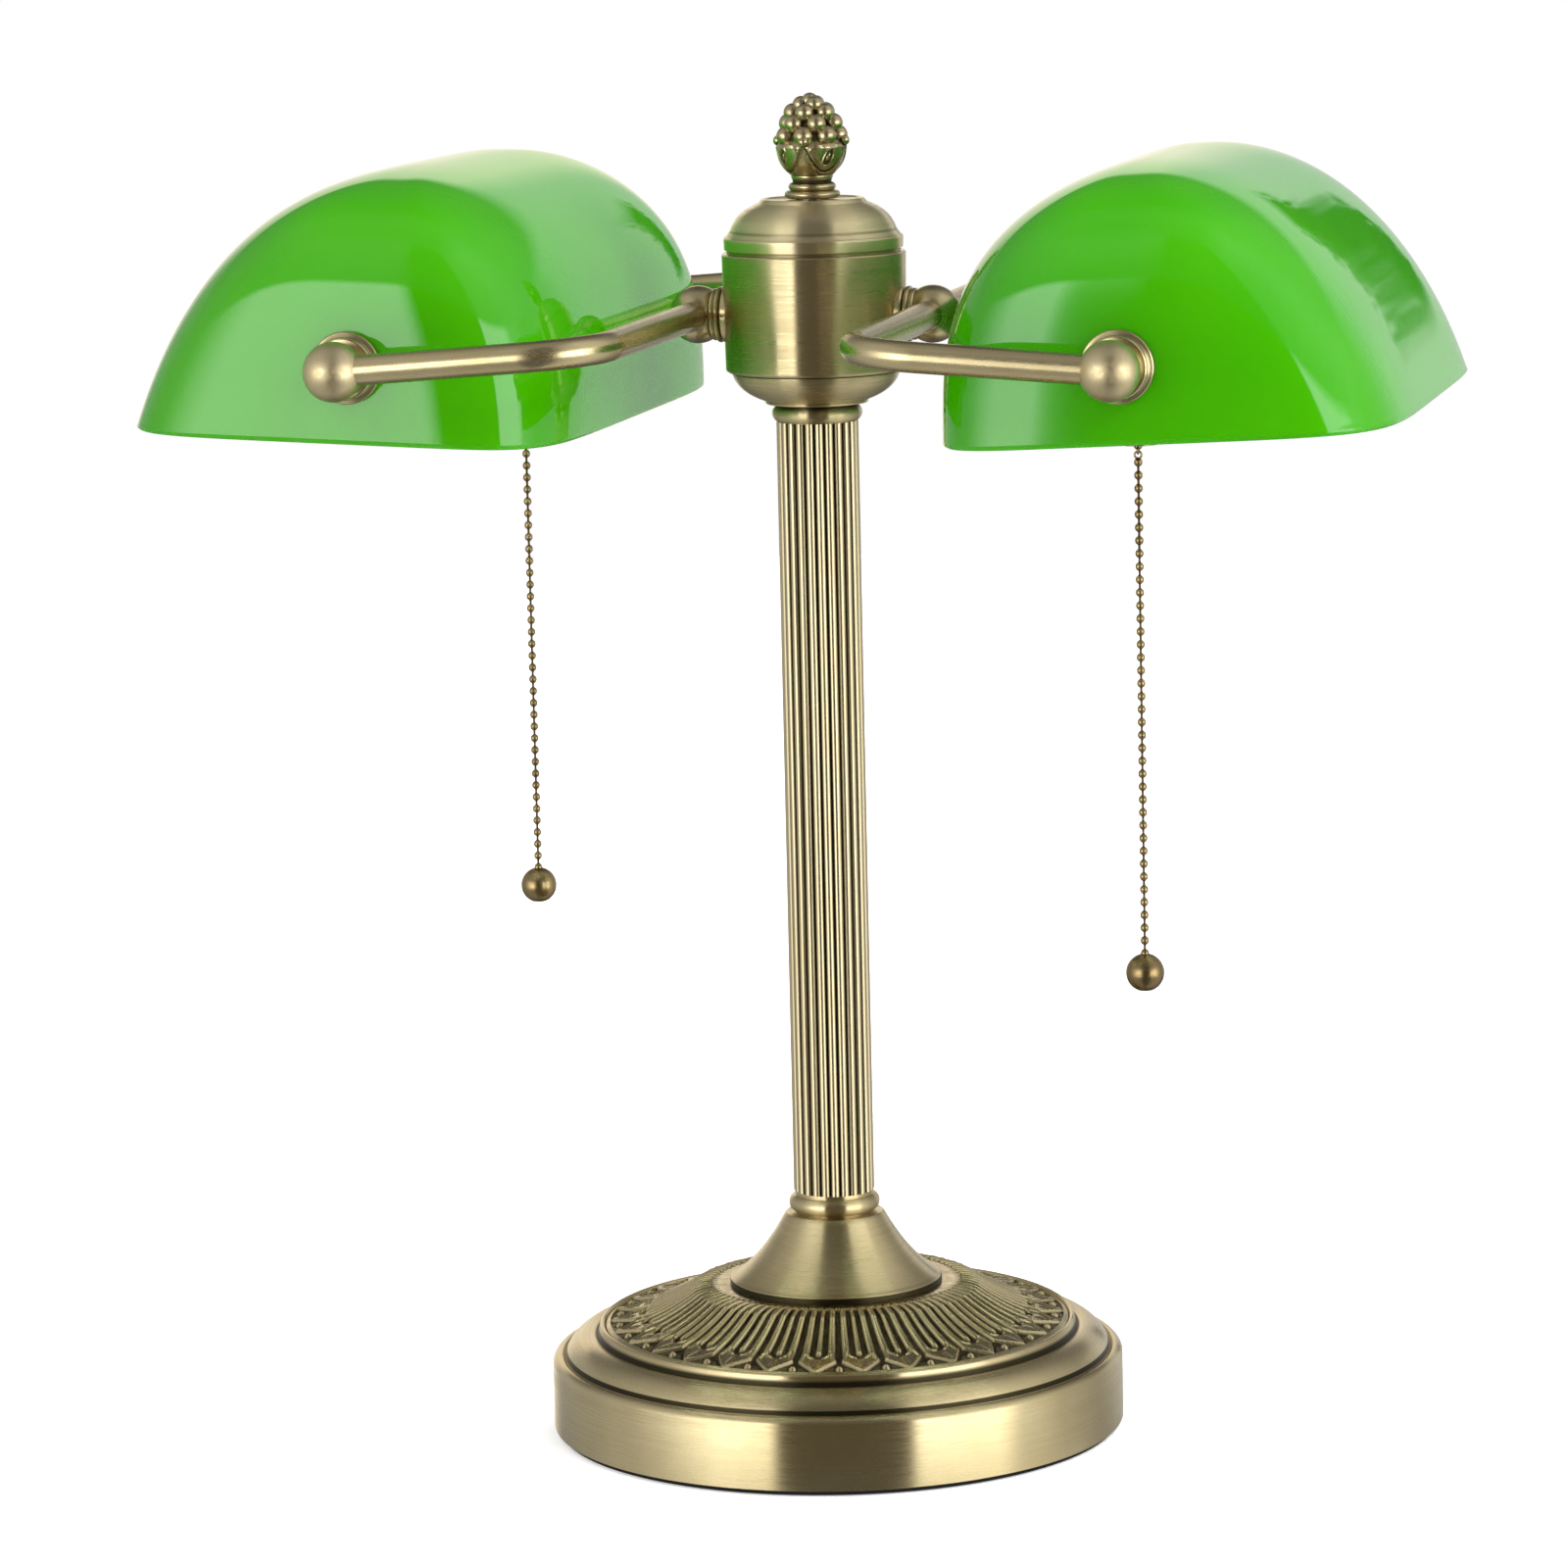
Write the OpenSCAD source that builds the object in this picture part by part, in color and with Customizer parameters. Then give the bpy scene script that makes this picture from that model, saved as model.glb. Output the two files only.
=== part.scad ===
// Double-headed banker's desk lamp.
// Millimetres, +Z up, origin at the middle of the underside. Each head hangs on
// a U-shaped yoke beside the hub: the right head on +X, and the left head is
// the same head turned half a turn about Z. The front is -Y.

/* [Base] */
// Radius of the base's outer band
base_r = 87.5; // [80:0.5:95]
// Height of the base's outer band above its felt
band_h = 19.5; // [18:0.5:21]
// Thickness of the felt pad
felt_t = 1.6; // [1:0.2:3]
// Wall of the spun brass shells
sheet_t = 1.3; // [1:0.1:1.5]

/* [Column] */
// Radius of the column's tube under its ribs
column_r = 11.3; // [10:0.1:12]
// Number of ribs round the column
rib_count = 24; // [16:2:32]
// Height at which the column's tube ends
column_top = 309; // [260:1:360]

/* [Hub] */
// Radius of the hub at its foot
hub_r = 27; // [26:0.5:28]
// Extra radius of the hub at its top
hub_flare = 0.6; // [0:0.1:1]

/* [Heads] */
// Distance from the lamp's axis to the tilt axis of each shade
head_x = 111.9; // [105:0.1:120]
// Half distance between the ball joints of one yoke
head_half = 125.6; // [122:0.1:130]
// Radius of the yoke's tube
tube_r = 4.4; // [4:0.1:5]
// Radius of the ball joints
ball_r = 8.7; // [8:0.1:9.5]
// Radius of the yoke's bends, at the tube's centre line
bend_r = 21; // [16:1:28]
// Drop of the ball joints below the yoke's knuckle
head_drop = 5.4; // [0:0.1:12]

/* [Shade] */
// Half length of the glass shade
shade_half = 111.5; // [105:0.5:113]
// Reach of the rim from the tilt axis towards the column
rim_in = 58.5; // [50:0.5:62]
// Reach of the rim from the tilt axis away from the column
rim_out = 74.7; // [65:0.1:80]
// Depth of the rim below the tilt axis
rim_drop = 22.3; // [20:0.1:25]
// Height of the crown above the tilt axis
crown_h = 53.4; // [48:0.1:56]
// Thickness of the cased glass
glass_t = 3.6; // [3:0.1:4.5]
// Tilt of the shade at rest, outer rim up, in degrees
shade_tilt = 2.4; // [0:0.1:5]

/* [Pull chain] */
// Distance between neighbouring beads
bead_pitch = 3.77; // [3:0.01:4.5]
// Number of beads, the last one held in the pull ball
bead_count = 39; // [30:1:42]
// Radius of a bead
bead_r = 1.23; // [1:0.01:1.4]
// Radius of the pull ball
pull_r = 5.6; // [5:0.1:7]
// Distance along the shade from its middle to the chain
chain_y = 61.9; // [55:0.1:70]
// Distance of the chain from the tilt axis, towards the column
chain_in = 3.5; // [0:0.1:5]

/* [Hidden] */
$fn = 64;
CUT = 0.01;                         // how far a cutting shape overshoots
RIGHT = 0;                          // turn about Z of each head
LEFT = 180;
rod_r = 4.8;                        // hollow threaded rod and studs
rod_bore = 3.1;
rod_gap = 0.1;
band_top = felt_t + band_h;
lip_z = 33;                         // raised lip round the lotus plate
plate_r = 71;                       // edge of the lotus plate
plate_z = 44.4;                     // flat ring in its middle
foot_r = 32.5;
foot_top = 66.2;
collar_top = 73;
hub_z = 324;                        // underside of the turned hub
hub_top = 359.6;
cap_z = 375.6;
hub_wall = 2;
knuckle_z = 340.94;
knuckle_x = 36;
ball_z = knuckle_z - head_drop;
arm_len = sqrt(pow(head_x - knuckle_x, 2) + pow(head_drop, 2));
arm_drop = asin(head_drop / arm_len);
stud_r = 4;                         // swivel stud
swivel_fit = 0.06;                  // its running clearance
pivot_r = 3;                        // tilt studs
pivot_fit = 0.06;
collar_x = 28.1;                    // inner face of the swivel collar
stud_end = knuckle_x - tube_r + 1.6;
knuckle_face = 31.5;
ball_flat = head_half - ball_r + 0.4;
rosette_y = ball_flat - 0.3;
crown_u = -1.4;                     // crown's distance from the tilt axis
glass_y = shade_half;               // glass at the tilt axis
SIDES = 56;                         // points round each level of the dome
LEVELS = 11;
FOOT = 38.8;                        // outer side's ellipse is centred this far below the rim
IN_RISE = 2.97;                     // powers of the curve on the column's side
IN_ROUND = 1.65;
END_RISE = 5.84;                    // and of the ends
END_ROUND = 3.88;
SQUARE_RIM = 6.14;                  // power of the outline at the rim
SQUARE_LOSS = 2.5;                  // what it loses up to the crown
socket_r = 17.5;
socket_y = [105, 92, 42];           // cap end, seam, and mouth of the socket
eye_r = 1;                          // rings between pull rod and chain
wire_r = 0.3;
link_step = 1.35;                   // fall from one ring to the next
eye_z = 308.2;
first_bead_z = eye_z - 4.8;
pull_z = first_bead_z - (bead_count - 1) * bead_pitch - pull_r + 0.1;
cord_z = 16.6;                      // cord hole in the back of the base

BRASS = [0.62, 0.53, 0.33];
DARK_BRASS = [0.45, 0.38, 0.22];
STEEL = [0.66, 0.67, 0.68];
IRON = [0.2, 0.2, 0.2];
GREEN = [0.1, 0.62, 0.05];

// ---- helpers ----

// Points on an arc, from angle a to angle b
function arc(x, y, r, a, b, n = 8) =
    [for (i = [0:n]) let (t = a + (b - a) * i / n) [x + r * cos(t), y + r * sin(t)]];

// Points on a curve that leaves p towards q and reaches s
function bow(p, q, s, n = 10) =
    [for (i = [0:n]) let (t = i / n) (1 - t) * (1 - t) * p + 2 * t * (1 - t) * q + t * t * s];

// Cylinder round Z between two heights
module cylinder_from(r, z0, z1) {
    translate([0, 0, z0]) cylinder(r = r, h = z1 - z0);
}

// Ring or washer round Z
module ring(r_out, r_in, z, h) {
    translate([0, 0, z]) difference() {
        cylinder(r = r_out, h = h);
        translate([0, 0, -CUT]) cylinder(r = r_in, h = h + 2 * CUT);
    }
}

// Hexagonal nut round Z, across its corners 2 * r_out
module nut(r_out, r_in, z, h) {
    translate([0, 0, z]) difference() {
        cylinder(r = r_out, h = h, $fn = 6);
        translate([0, 0, -CUT]) cylinder(r = r_in, h = h + 2 * CUT);
    }
}

// Lay a shape made round Z along +X at the swivel axis, so that z becomes x
module on_swivel() {
    translate([0, 0, knuckle_z]) rotate([0, 90, 0]) children();
}

// Lay a shape made round Z along the tilt axis, so that z becomes the distance
// from the middle; side is -1 at the socket's end and 1 at the plain end
module on_tilt(side) {
    translate([head_x, 0, ball_z]) rotate([side < 0 ? 90 : -90, 0, 0]) children();
}

// Turn a head, made on the +X side, to its place
module head(turn) {
    rotate([0, 0, turn]) children();
}

// Ball round Z, centred at z and cut off flat at z_flat below its middle
module flat_ball(r, z, z_flat) {
    rotate_extrude() polygon(concat([[0, z_flat]], arc(0, z, r, asin((z_flat - z) / r), 90, 20)));
}

// Torus round Z
module torus(r_ring, r_wire) {
    rotate_extrude($fn = 32) translate([r_ring, 0]) circle(r = r_wire, $fn = 16);
}

// ---- base ----

module felt_pad() {
    color("black") ring(base_r - 3, 14, 0, felt_t);
}

// Cast disc with a ring under the lotus plate's edge and a boss at its middle
module base_weight() {
    disc_top = 11.5;
    color(IRON) difference() {
        union() {
            translate([0, 0, felt_t]) cylinder(r = base_r - sheet_t - 0.3, h = disc_top - felt_t);
            ring(66, 62, disc_top - CUT, lip_z - 1.5 - sheet_t - disc_top);
            cylinder_from(14, disc_top - CUT, plate_z - sheet_t);
        }
        translate([0, 0, -CUT]) cylinder(r = rod_r + rod_gap, h = plate_z);
        translate([0, 0, felt_t - CUT]) cylinder(r = 14, h = 6.5);
        translate([-5, 0, disc_top]) cube([10, 70, 9]);
    }
}

// Spun shell: band, rounded edge, groove, convex shoulder and the plate's lip
module base_shell() {
    inner_r = base_r - sheet_t;
    shoulder = [base_r - 12.5, band_top - 0.3];
    outside = concat(
        [[base_r, felt_t]],
        arc(base_r - 2.5, band_top, 2.5, 0, 90),
        [[base_r - 3, band_top + 2.4], [base_r - 4.3, band_top + 0.3]],
        arc(shoulder.x, shoulder.y, 9, 8, 90, 12),
        [[73.6, 29.4], [73.2, 30.4], [72.9, 32.4]],
        arc(72.1, lip_z - 0.7, 0.7, 0, 180, 6));
    inside = concat(
        [[plate_r, lip_z - 1.5], [61, lip_z - 1.5], [61, lip_z - 1.5 - sheet_t]],
        [[71.5, lip_z - 1.5 - sheet_t], [71.5, 28.2]],
        arc(shoulder.x, shoulder.y, 7.4, 90, 8, 12),
        [[82, band_top - 1.5], [inner_r, band_top - 1.5], [inner_r, felt_t]]);
    color(BRASS) difference() {
        rotate_extrude($fn = 96) polygon(concat(outside, inside));
        translate([0, 0, cord_z]) rotate([-90, 0, 0]) cylinder(r = 4.6, h = base_r + 1);
    }
}

// Plastic bushing in the cord hole
module cord_bushing() {
    color("black") difference() {
        union() {
            translate([0, base_r - 4, cord_z]) rotate([-90, 0, 0]) cylinder(r = 4.5, h = 3.7);
            translate([0, base_r - 4.5, cord_z]) rotate([-90, 0, 0]) cylinder(r = 4, h = 1);
        }
        translate([0, base_r - 6, cord_z]) rotate([-90, 0, 0]) cylinder(r = 3.2, h = 10);
    }
}

// Ogee plate: rim, convex petals, a kink and the flat ring under the column
module lotus_plate() {
    hole_r = rod_r + rod_gap;
    top = concat(
        [[plate_r, lip_z - 1.5], [plate_r, lip_z - 0.6], [69.5, lip_z + 0.3]],
        bow([66.5, 34.1], [56, 35.6], [44, 43.7], 12),
        [[41, 44.6], [38.2, 44.9], [37.7, plate_z], [hole_r, plate_z]]);
    under = concat(
        [[hole_r, plate_z - sheet_t], [15, plate_z - sheet_t], [43, plate_z - sheet_t - 0.5]],
        bow([44.6, 42], [56, 34], [66, 32.6], 12),
        [[68.5, lip_z - 1.5]]);
    color(BRASS) rotate_extrude($fn = 96) polygon(concat(top, under));
}

// ---- column ----

// Flared foot of the column
module column_foot() {
    outside = concat(
        [[foot_r, plate_z], [foot_r, plate_z + 1.2]],
        arc(foot_r - 0.8, plate_z + 1.2, 0.8, 0, 70, 4),
        bow([31, 46.7], [22.5, 52.5], [15.4, foot_top - 0.6]),
        [[14.8, foot_top]]);
    inside = concat(
        [[rod_r + rod_gap, foot_top], [rod_r + rod_gap, foot_top - sheet_t]],
        bow([13.2, foot_top - sheet_t], [20, 52.5], [30, 45.6]),
        [[30.5, plate_z]]);
    color(BRASS) rotate_extrude($fn = 96) polygon(concat(outside, inside));
}

module lower_collar() {
    color(BRASS) rotate_extrude() polygon(concat(
        [[rod_r + rod_gap, foot_top], [11.8, foot_top]],
        arc(11.2, foot_top + 3.1, 2.7, -75, 75),
        [[12, collar_top - 0.6], [12, collar_top], [rod_r + rod_gap, collar_top]]));
}

// Tube with rounded ribs and narrow grooves along it
module column() {
    rib_r = column_r * sin(180 / rib_count) * 0.93;
    color(BRASS) translate([0, 0, collar_top]) linear_extrude(column_top - collar_top) difference() {
        union() {
            circle(r = column_r);
            for (i = [0:rib_count - 1])
                rotate(i * 360 / rib_count) translate([column_r - 0.35, 0]) circle(r = rib_r, $fn = 24);
        }
        circle(r = column_r - 1.8);
    }
}

// Hollow threaded rod that clamps base, column and hub together
module tie_rod() {
    color(STEEL) difference() {
        cylinder_from(rod_r, felt_t + 0.8, cap_z + 10.4);
        cylinder_from(rod_bore, 0, cap_z + 11);
        translate([0, 0, cord_z]) rotate([-90, 0, 0]) cylinder(r = 2.8, h = 20);
    }
}

module rod_washers() {
    color(STEEL) {
        ring(12, rod_r + rod_gap, felt_t + 5.2, 1.2);
        ring(12, rod_r + rod_gap, hub_z + 2, 1.2);
    }
}

module rod_locknuts() {
    color(STEEL) {
        nut(9.5, rod_r + 0.03, felt_t + 1.6, 3.6);
        nut(9.5, rod_r + 0.03, hub_z + 3.2, 3.6);
    }
}

module upper_collar() {
    z = column_top;
    color(BRASS) rotate_extrude() polygon(concat(
        [[rod_r + rod_gap, z], [12.4, z]],
        arc(10.9, z + 2.5, 2.7, -65, 60),
        [[11.6, z + 5.4], [rod_r + rod_gap, z + 5.4]]));
}

// ---- hub ----

module hub_bowl() {
    z = column_top + 5.4;
    outside = concat(
        [[14.8, z]], arc(15, z + 0.5, 0.5, -90, 60, 5),
        bow([15.9, z + 1.1], [24.2, z + 4], [25.2, hub_z]));
    inside = concat(
        [[23.6, hub_z]], bow([23.2, hub_z - 0.6], [21.5, z + 4.6], [14.8, z + 2]),
        [[rod_r + rod_gap, z + 2], [rod_r + rod_gap, z]]);
    color(BRASS) rotate_extrude($fn = 96) polygon(concat(outside, inside));
}

// Outline of the hub's outer wall
function hub_outline() = concat(
    [[rod_r + rod_gap, hub_z], [hub_r - 1.3, hub_z]],
    arc(hub_r - 1.1, hub_z + 1.2, 1.1, -90, 0, 6),
    [[hub_r + hub_flare, hub_top]]);

module hub_body() {
    inner_r = hub_r - hub_wall;
    color(BRASS) difference() {
        rotate_extrude($fn = 96) polygon(concat(hub_outline(),
            [[inner_r, hub_top], [inner_r, hub_z + 2], [rod_r + rod_gap, hub_z + 2]]));
        on_swivel() translate([0, 0, -40]) cylinder(r = stud_r + swivel_fit, h = 80);
    }
}

// Dished cap with a shallow groove below its band and a spigot in the hub
module hub_cap() {
    z = hub_top;
    outside = concat(
        [[hub_r - 0.9, z], [hub_r - 0.9, z + 0.9], [hub_r - 0.2, z + 1.2], [hub_r - 0.1, z + 4]],
        arc(hub_r - 1.1, z + 4.1, 1, 0, 70, 5),
        [[25, z + 6.6], [24.4, z + 8.2]],
        bow([23.9, z + 9], [22.2, z + 12.4], [14, cap_z]),
        [[rod_r + rod_gap, cap_z]]);
    inside = concat(
        [[rod_r + rod_gap, cap_z - 1.6], [14, cap_z - 1.6]],
        bow([15, cap_z - 1.7], [21.4, z + 10.6], [23.4, z + 5]),
        [[23.4, z - 2.5], [hub_r - hub_wall - 0.1, z - 2.5], [hub_r - hub_wall - 0.1, z]]);
    color(BRASS) rotate_extrude($fn = 96) polygon(concat(outside, inside));
}

// Berry cluster in a leafy cup on two turned rings
module finial() {
    z = cap_z;
    leaf_z = z + 16.9;
    berry_r = 2.6;
    tiers = [[9, 7.4, 19], [8, 6, 22.5], [5, 4.2, 25.8], [3, 2, 28.3], [1, 0, 28.8]];
    profile = concat(
        [[0, z + 10.6], [rod_r + 0.03, z + 10.6], [rod_r + 0.03, z], [7.6, z]],
        arc(7.2, z + 1.2, 1.1, -80, 80, 6), arc(6, z + 3.5, 1.1, -70, 70, 6),
        [[5.8, z + 5.2], [6.3, z + 7]],
        bow([7.4, z + 8.6], [9.2, z + 11], [10.6, z + 16]),
        [[9.6, leaf_z], [6.5, z + 20], [3, z + 28], [0, z + 29]]);
    color(BRASS) {
        rotate_extrude() polygon(profile);
        for (tier = tiers, i = [0:tier[0] - 1])
            rotate(i * 360 / tier[0]) translate([tier[1], 0, z + tier[2]]) sphere(r = berry_r, $fn = 24);
        for (i = [0:3])
            rotate(i * 90 - 90 - 13) translate([10.8, 0, z + 17]) sphere(r = 1.2, $fn = 16);
    }
}

// Twist-on connectors that join the heads' wires inside the hub
module wire_connectors() {
    color("ivory") for (side = [-1, 1])
        translate([0, side * 16, hub_z + 2]) cylinder(r1 = 3.2, r2 = 5, h = 18);
}

// Saddle washers between the hub and each swivel collar
module hub_seats() {
    color(BRASS) for (turn = [RIGHT, LEFT]) head(turn) difference() {
        on_swivel() cylinder_from(8.6, 24, collar_x - 0.3);
        rotate_extrude($fn = 96) polygon(concat(hub_outline(), [[0, hub_top], [0, hub_z]]));
        on_swivel() cylinder_from(stud_r + swivel_fit, 20, 30);
    }
}

// ---- yoke ----

module swivel_collar(turn) {
    color(BRASS) head(turn) on_swivel() rotate_extrude() polygon(concat(
        [[stud_r + 0.02, collar_x], [7.9, collar_x]],
        arc(7.6, collar_x + 0.8, 0.8, -80, 80, 6),
        arc(6.8, collar_x + 2.4, 1, -50, 60, 6),
        [[6.8, knuckle_face], [stud_r + 0.02, knuckle_face]]));
}

// Hollow stud that the yoke turns on
module swivel_stud(turn) {
    color(STEEL) head(turn) on_swivel() difference() {
        cylinder_from(stud_r, 16, stud_end);
        cylinder_from(2.4, 15, knuckle_x);
    }
}

module swivel_washer(turn) {
    color(STEEL) head(turn) on_swivel() ring(6, stud_r + 0.02, 23.1, 0.9);
}

module swivel_nut(turn) {
    color(STEEL) head(turn) on_swivel() nut(6.6, stud_r + 0.02, 19.9, 3.2);
}

// Domed ball that carries the yoke's tube on the swivel stud
module knuckle(turn) {
    color(BRASS) head(turn) difference() {
        on_swivel() flat_ball(ball_r, knuckle_x, knuckle_face);
        translate([knuckle_x, 10, knuckle_z]) rotate([90, 0, 0]) cylinder(r = tube_r + 0.02, h = 20);
        on_swivel() cylinder_from(stud_r + 0.02, 20, knuckle_x);
    }
}

// U-shaped tube, made flat with its base along Y and its arms along X
module yoke_path(r, over = 0) {
    half = head_half - bend_r;
    end = arm_len - ball_r + 2 + over;
    rotate([90, 0, 0]) translate([0, 0, -half]) cylinder(r = r, h = 2 * half);
    for (side = [-1, 1]) scale([1, side, 1]) {
        translate([bend_r, half, 0]) rotate([0, 0, 90])
            rotate_extrude(angle = 90) translate([bend_r, 0]) circle(r = r, $fn = 32);
        translate([bend_r, head_half, 0]) rotate([0, 90, 0]) cylinder(r = r, h = end - bend_r);
    }
}

module yoke_tube(turn) {
    color(BRASS) head(turn) difference() {
        translate([knuckle_x, 0, knuckle_z]) rotate([0, arm_drop, 0]) difference() {
            yoke_path(tube_r);
            yoke_path(tube_r - 1.2, 1);
        }
        on_swivel() cylinder_from(stud_r + 0.02, 20, stud_end);
    }
}

// Ball at each end of the yoke, bored for its pivot stud and its tube
module ball_joints(turn) {
    color(BRASS) head(turn) for (side = [-1, 1]) difference() {
        on_tilt(side) flat_ball(ball_r, head_half, ball_flat);
        on_tilt(side) cylinder_from(pivot_r + pivot_fit, ball_flat - 1, head_half + 2.4);
        translate([knuckle_x, 0, knuckle_z]) rotate([0, arm_drop, 0])
            translate([arm_len - ball_r - 4, side * head_half, 0])
                rotate([0, 90, 0]) cylinder(r = tube_r + 0.02, h = 6);
    }
}

// ---- shade ----

// Closed dome with a flat rim: each level is a superellipse, vertical on the
// column's side, sloping on the outer side and almost flat at the ends
function signed_pow(v, e) = sign(v) * pow(abs(v), e);

function dome_level(inset, k) =
    let (
        height = crown_h - inset + rim_drop,
        h = k < 0 ? 0 : sin(90 * k / LEVELS) * 0.999,
        outer = (h * height + FOOT) / (height + FOOT),
        foot = FOOT / (height + FOOT),
        reach_in = (rim_in + crown_u - inset) * pow(1 - pow(h, IN_RISE), 1 / IN_ROUND),
        reach_out = (rim_out - crown_u - inset) * sqrt((1 - outer * outer) / (1 - foot * foot)),
        half = (shade_half - inset) * pow(1 - pow(h, END_RISE), 1 / END_ROUND),
        square = SQUARE_RIM - SQUARE_LOSS * h)
    [for (i = [0:SIDES - 1]) let (a = 360 * i / SIDES)
        [crown_u + (cos(a) > 0 ? reach_out : reach_in) * signed_pow(cos(a), 2 / square),
         half * signed_pow(sin(a), 2 / square),
         (k < 0 ? k : h * height) - rim_drop]];

// Dome shrunk by inset; drop carries its open end that far below the rim
module dome(inset, drop = 0) {
    levels = concat(drop > 0 ? [dome_level(inset, -drop)] : [],
                    [for (k = [0:LEVELS]) dome_level(inset, k)]);
    last = len(levels) - 1;
    walls = [for (k = [0:last - 1], i = [0:SIDES - 1]) let (j = (i + 1) % SIDES, a = k * SIDES)
        each [[a + i, a + SIDES + i, a + j], [a + j, a + SIDES + i, a + SIDES + j]]];
    polyhedron(
        points = [for (level = levels) each level],
        faces = concat(walls, [[for (i = [0:SIDES - 1]) i]],
                       [[for (i = [SIDES - 1:-1:0]) last * SIDES + i]]));
}

// Cased glass shade with a hole at each end for its studs
module shade(turn) {
    color(GREEN) head(turn) difference() {
        translate([head_x, 0, ball_z]) rotate([0, -shade_tilt, 0]) difference() {
            dome(0);
            dome(glass_t, 1);
        }
        for (side = [-1, 1]) on_tilt(side) cylinder_from(rod_r + 0.2, 90, 120);
    }
}

// Stepped rosettes between the balls and the glass
module rosettes(turn) {
    color(BRASS) head(turn) for (side = [-1, 1]) on_tilt(side) rotate_extrude() polygon(concat(
        [[pivot_r + 0.02, glass_y + 0.4], [10.4, glass_y + 0.4], [10.5, glass_y + 1.6]],
        arc(9.8, glass_y + 2, 0.7, 0, 80, 5), [[9, glass_y + 3.1]],
        arc(8.2, rosette_y - 0.9, 0.9, 0, 80, 5), [[pivot_r + 0.02, rosette_y]]));
}

// Soft washers on both faces of the glass
module gaskets(turn) {
    color("dimgray") head(turn) for (side = [-1, 1]) on_tilt(side) {
        ring(9.6, pivot_r + 0.02, glass_y + 0.05, 0.35);
        ring(9.6, rod_r + 0.1, glass_y - glass_t - 1.2, 0.9);
    }
}

// Hollow stud from the ball joint into the socket's cap
module socket_nipple(turn) {
    color(STEEL) head(turn) on_tilt(-1) difference() {
        union() {
            cylinder_from(pivot_r, glass_y - 1, head_half + 2);
            cylinder_from(rod_r, socket_y[0] - 3, glass_y - 0.05);
        }
        cylinder_from(1.8, socket_y[0] - 4, head_half + 3);
    }
}

// Plain stud at the other end
module pivot_stud(turn) {
    color(STEEL) head(turn) on_tilt(1) {
        cylinder_from(pivot_r, glass_y - 0.05 - CUT, head_half + 2);
        cylinder_from(rod_r, glass_y - glass_t - 5.5, glass_y - 0.05);
    }
}

module stud_nut(turn) {
    color(STEEL) head(turn) on_tilt(1) nut(8, rod_r + 0.02, glass_y - glass_t - 4.9, 3.6);
}

// ---- socket and bulb ----

module socket_cap(turn) {
    outer = concat(
        [[rod_r + 0.02, socket_y[0] + 1.6], [8, socket_y[0] + 1.6], [8.6, socket_y[0]]],
        bow([9, socket_y[0] - 0.6], [15.5, socket_y[0] - 2], [socket_r - 0.3, socket_y[1] + 3]),
        [[socket_r + 0.2, socket_y[1] + 2.6], [socket_r + 0.2, socket_y[1]]]);
    inner = concat(
        [[socket_r - 1, socket_y[1]], [socket_r - 1.4, socket_y[1] + 3]],
        bow([socket_r - 2, socket_y[1] + 4], [14.5, socket_y[0] - 3], [9, socket_y[0] - 1.8]),
        [[rod_r + 0.02, socket_y[0] - 1.8]]);
    color(BRASS) head(turn) on_tilt(-1) rotate_extrude() polygon(concat(outer, inner));
}

// Socket's shell with the switch body inside its closed end
module socket_shell(turn) {
    wall = [[16.2, socket_y[1] - CUT], [socket_r, socket_y[1] - CUT], [socket_r, 59],
            [socket_r + 0.5, 57.6], [socket_r, 56.2], [socket_r, socket_y[2] + 1.2],
            [socket_r + 0.6, socket_y[2] + 0.6], [socket_r, socket_y[2]],
            [16.2, socket_y[2]], [16.2, 70], [4, 70], [4, 84], [16.2, 84]];
    color(DARK_BRASS) head(turn) difference() {
        on_tilt(-1) rotate_extrude() polygon(wall);
        translate([head_x - chain_in, -chain_y, ball_z - 25]) cylinder(r = 1.9, h = 12);
    }
}

// Bell-mouthed guide under the socket, which the pull rod slides in
module chain_guide(turn) {
    top = ball_z - socket_r + 0.5;
    mouth = eye_z + 0.3;
    color(DARK_BRASS) head(turn) translate([head_x - chain_in, -chain_y, 0]) difference() {
        rotate_extrude($fn = 48) polygon([[1.3, top], [3.2, top], [3.2, mouth + 3.4], [6, mouth + 0.8],
            [6, mouth], [4.2, mouth], [2.2, mouth + 3.4], [1.3, mouth + 4.2]]);
        translate([chain_in, 10, ball_z]) rotate([90, 0, 0]) cylinder(r = socket_r + 0.02, h = 20);
    }
}

// Tubular bulb and its screw base
module bulb(turn) {
    base = [[0, 68], [4.5, 67.4], [12.9, 62.6], [13.2, 61]];
    glass = concat(
        bow([13.2, 42], [14.4, 34], [15.4, 24]),
        arc(0, -62, 15.4, 0, -90, 12));
    hollow = concat(
        arc(0, -62, 14.4, -90, 0, 12),
        bow([14.4, 24], [13.4, 34], [12.2, 42]),
        [[12.2, 60], [0, 60]]);
    color("ivory") head(turn) on_tilt(-1) rotate_extrude() polygon(concat(base, glass, hollow));
}

// ---- pull chain ----

module at_chain() {
    translate([head_x - chain_in, -chain_y, 0]) children();
}

// Rod through the guide with an eye at its foot
module pull_rod(turn) {
    color(DARK_BRASS) head(turn) at_chain() {
        cylinder_from(1.25, eye_z + eye_r - 0.1, ball_z - socket_r + 3.2);
        translate([0, 0, eye_z]) rotate([90, 0, 0]) torus(eye_r, wire_r);
    }
}

module pull_link(turn) {
    color(DARK_BRASS) head(turn) at_chain() translate([0, 0, eye_z - link_step])
        rotate([0, 90, 0]) torus(eye_r, wire_r);
}

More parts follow.
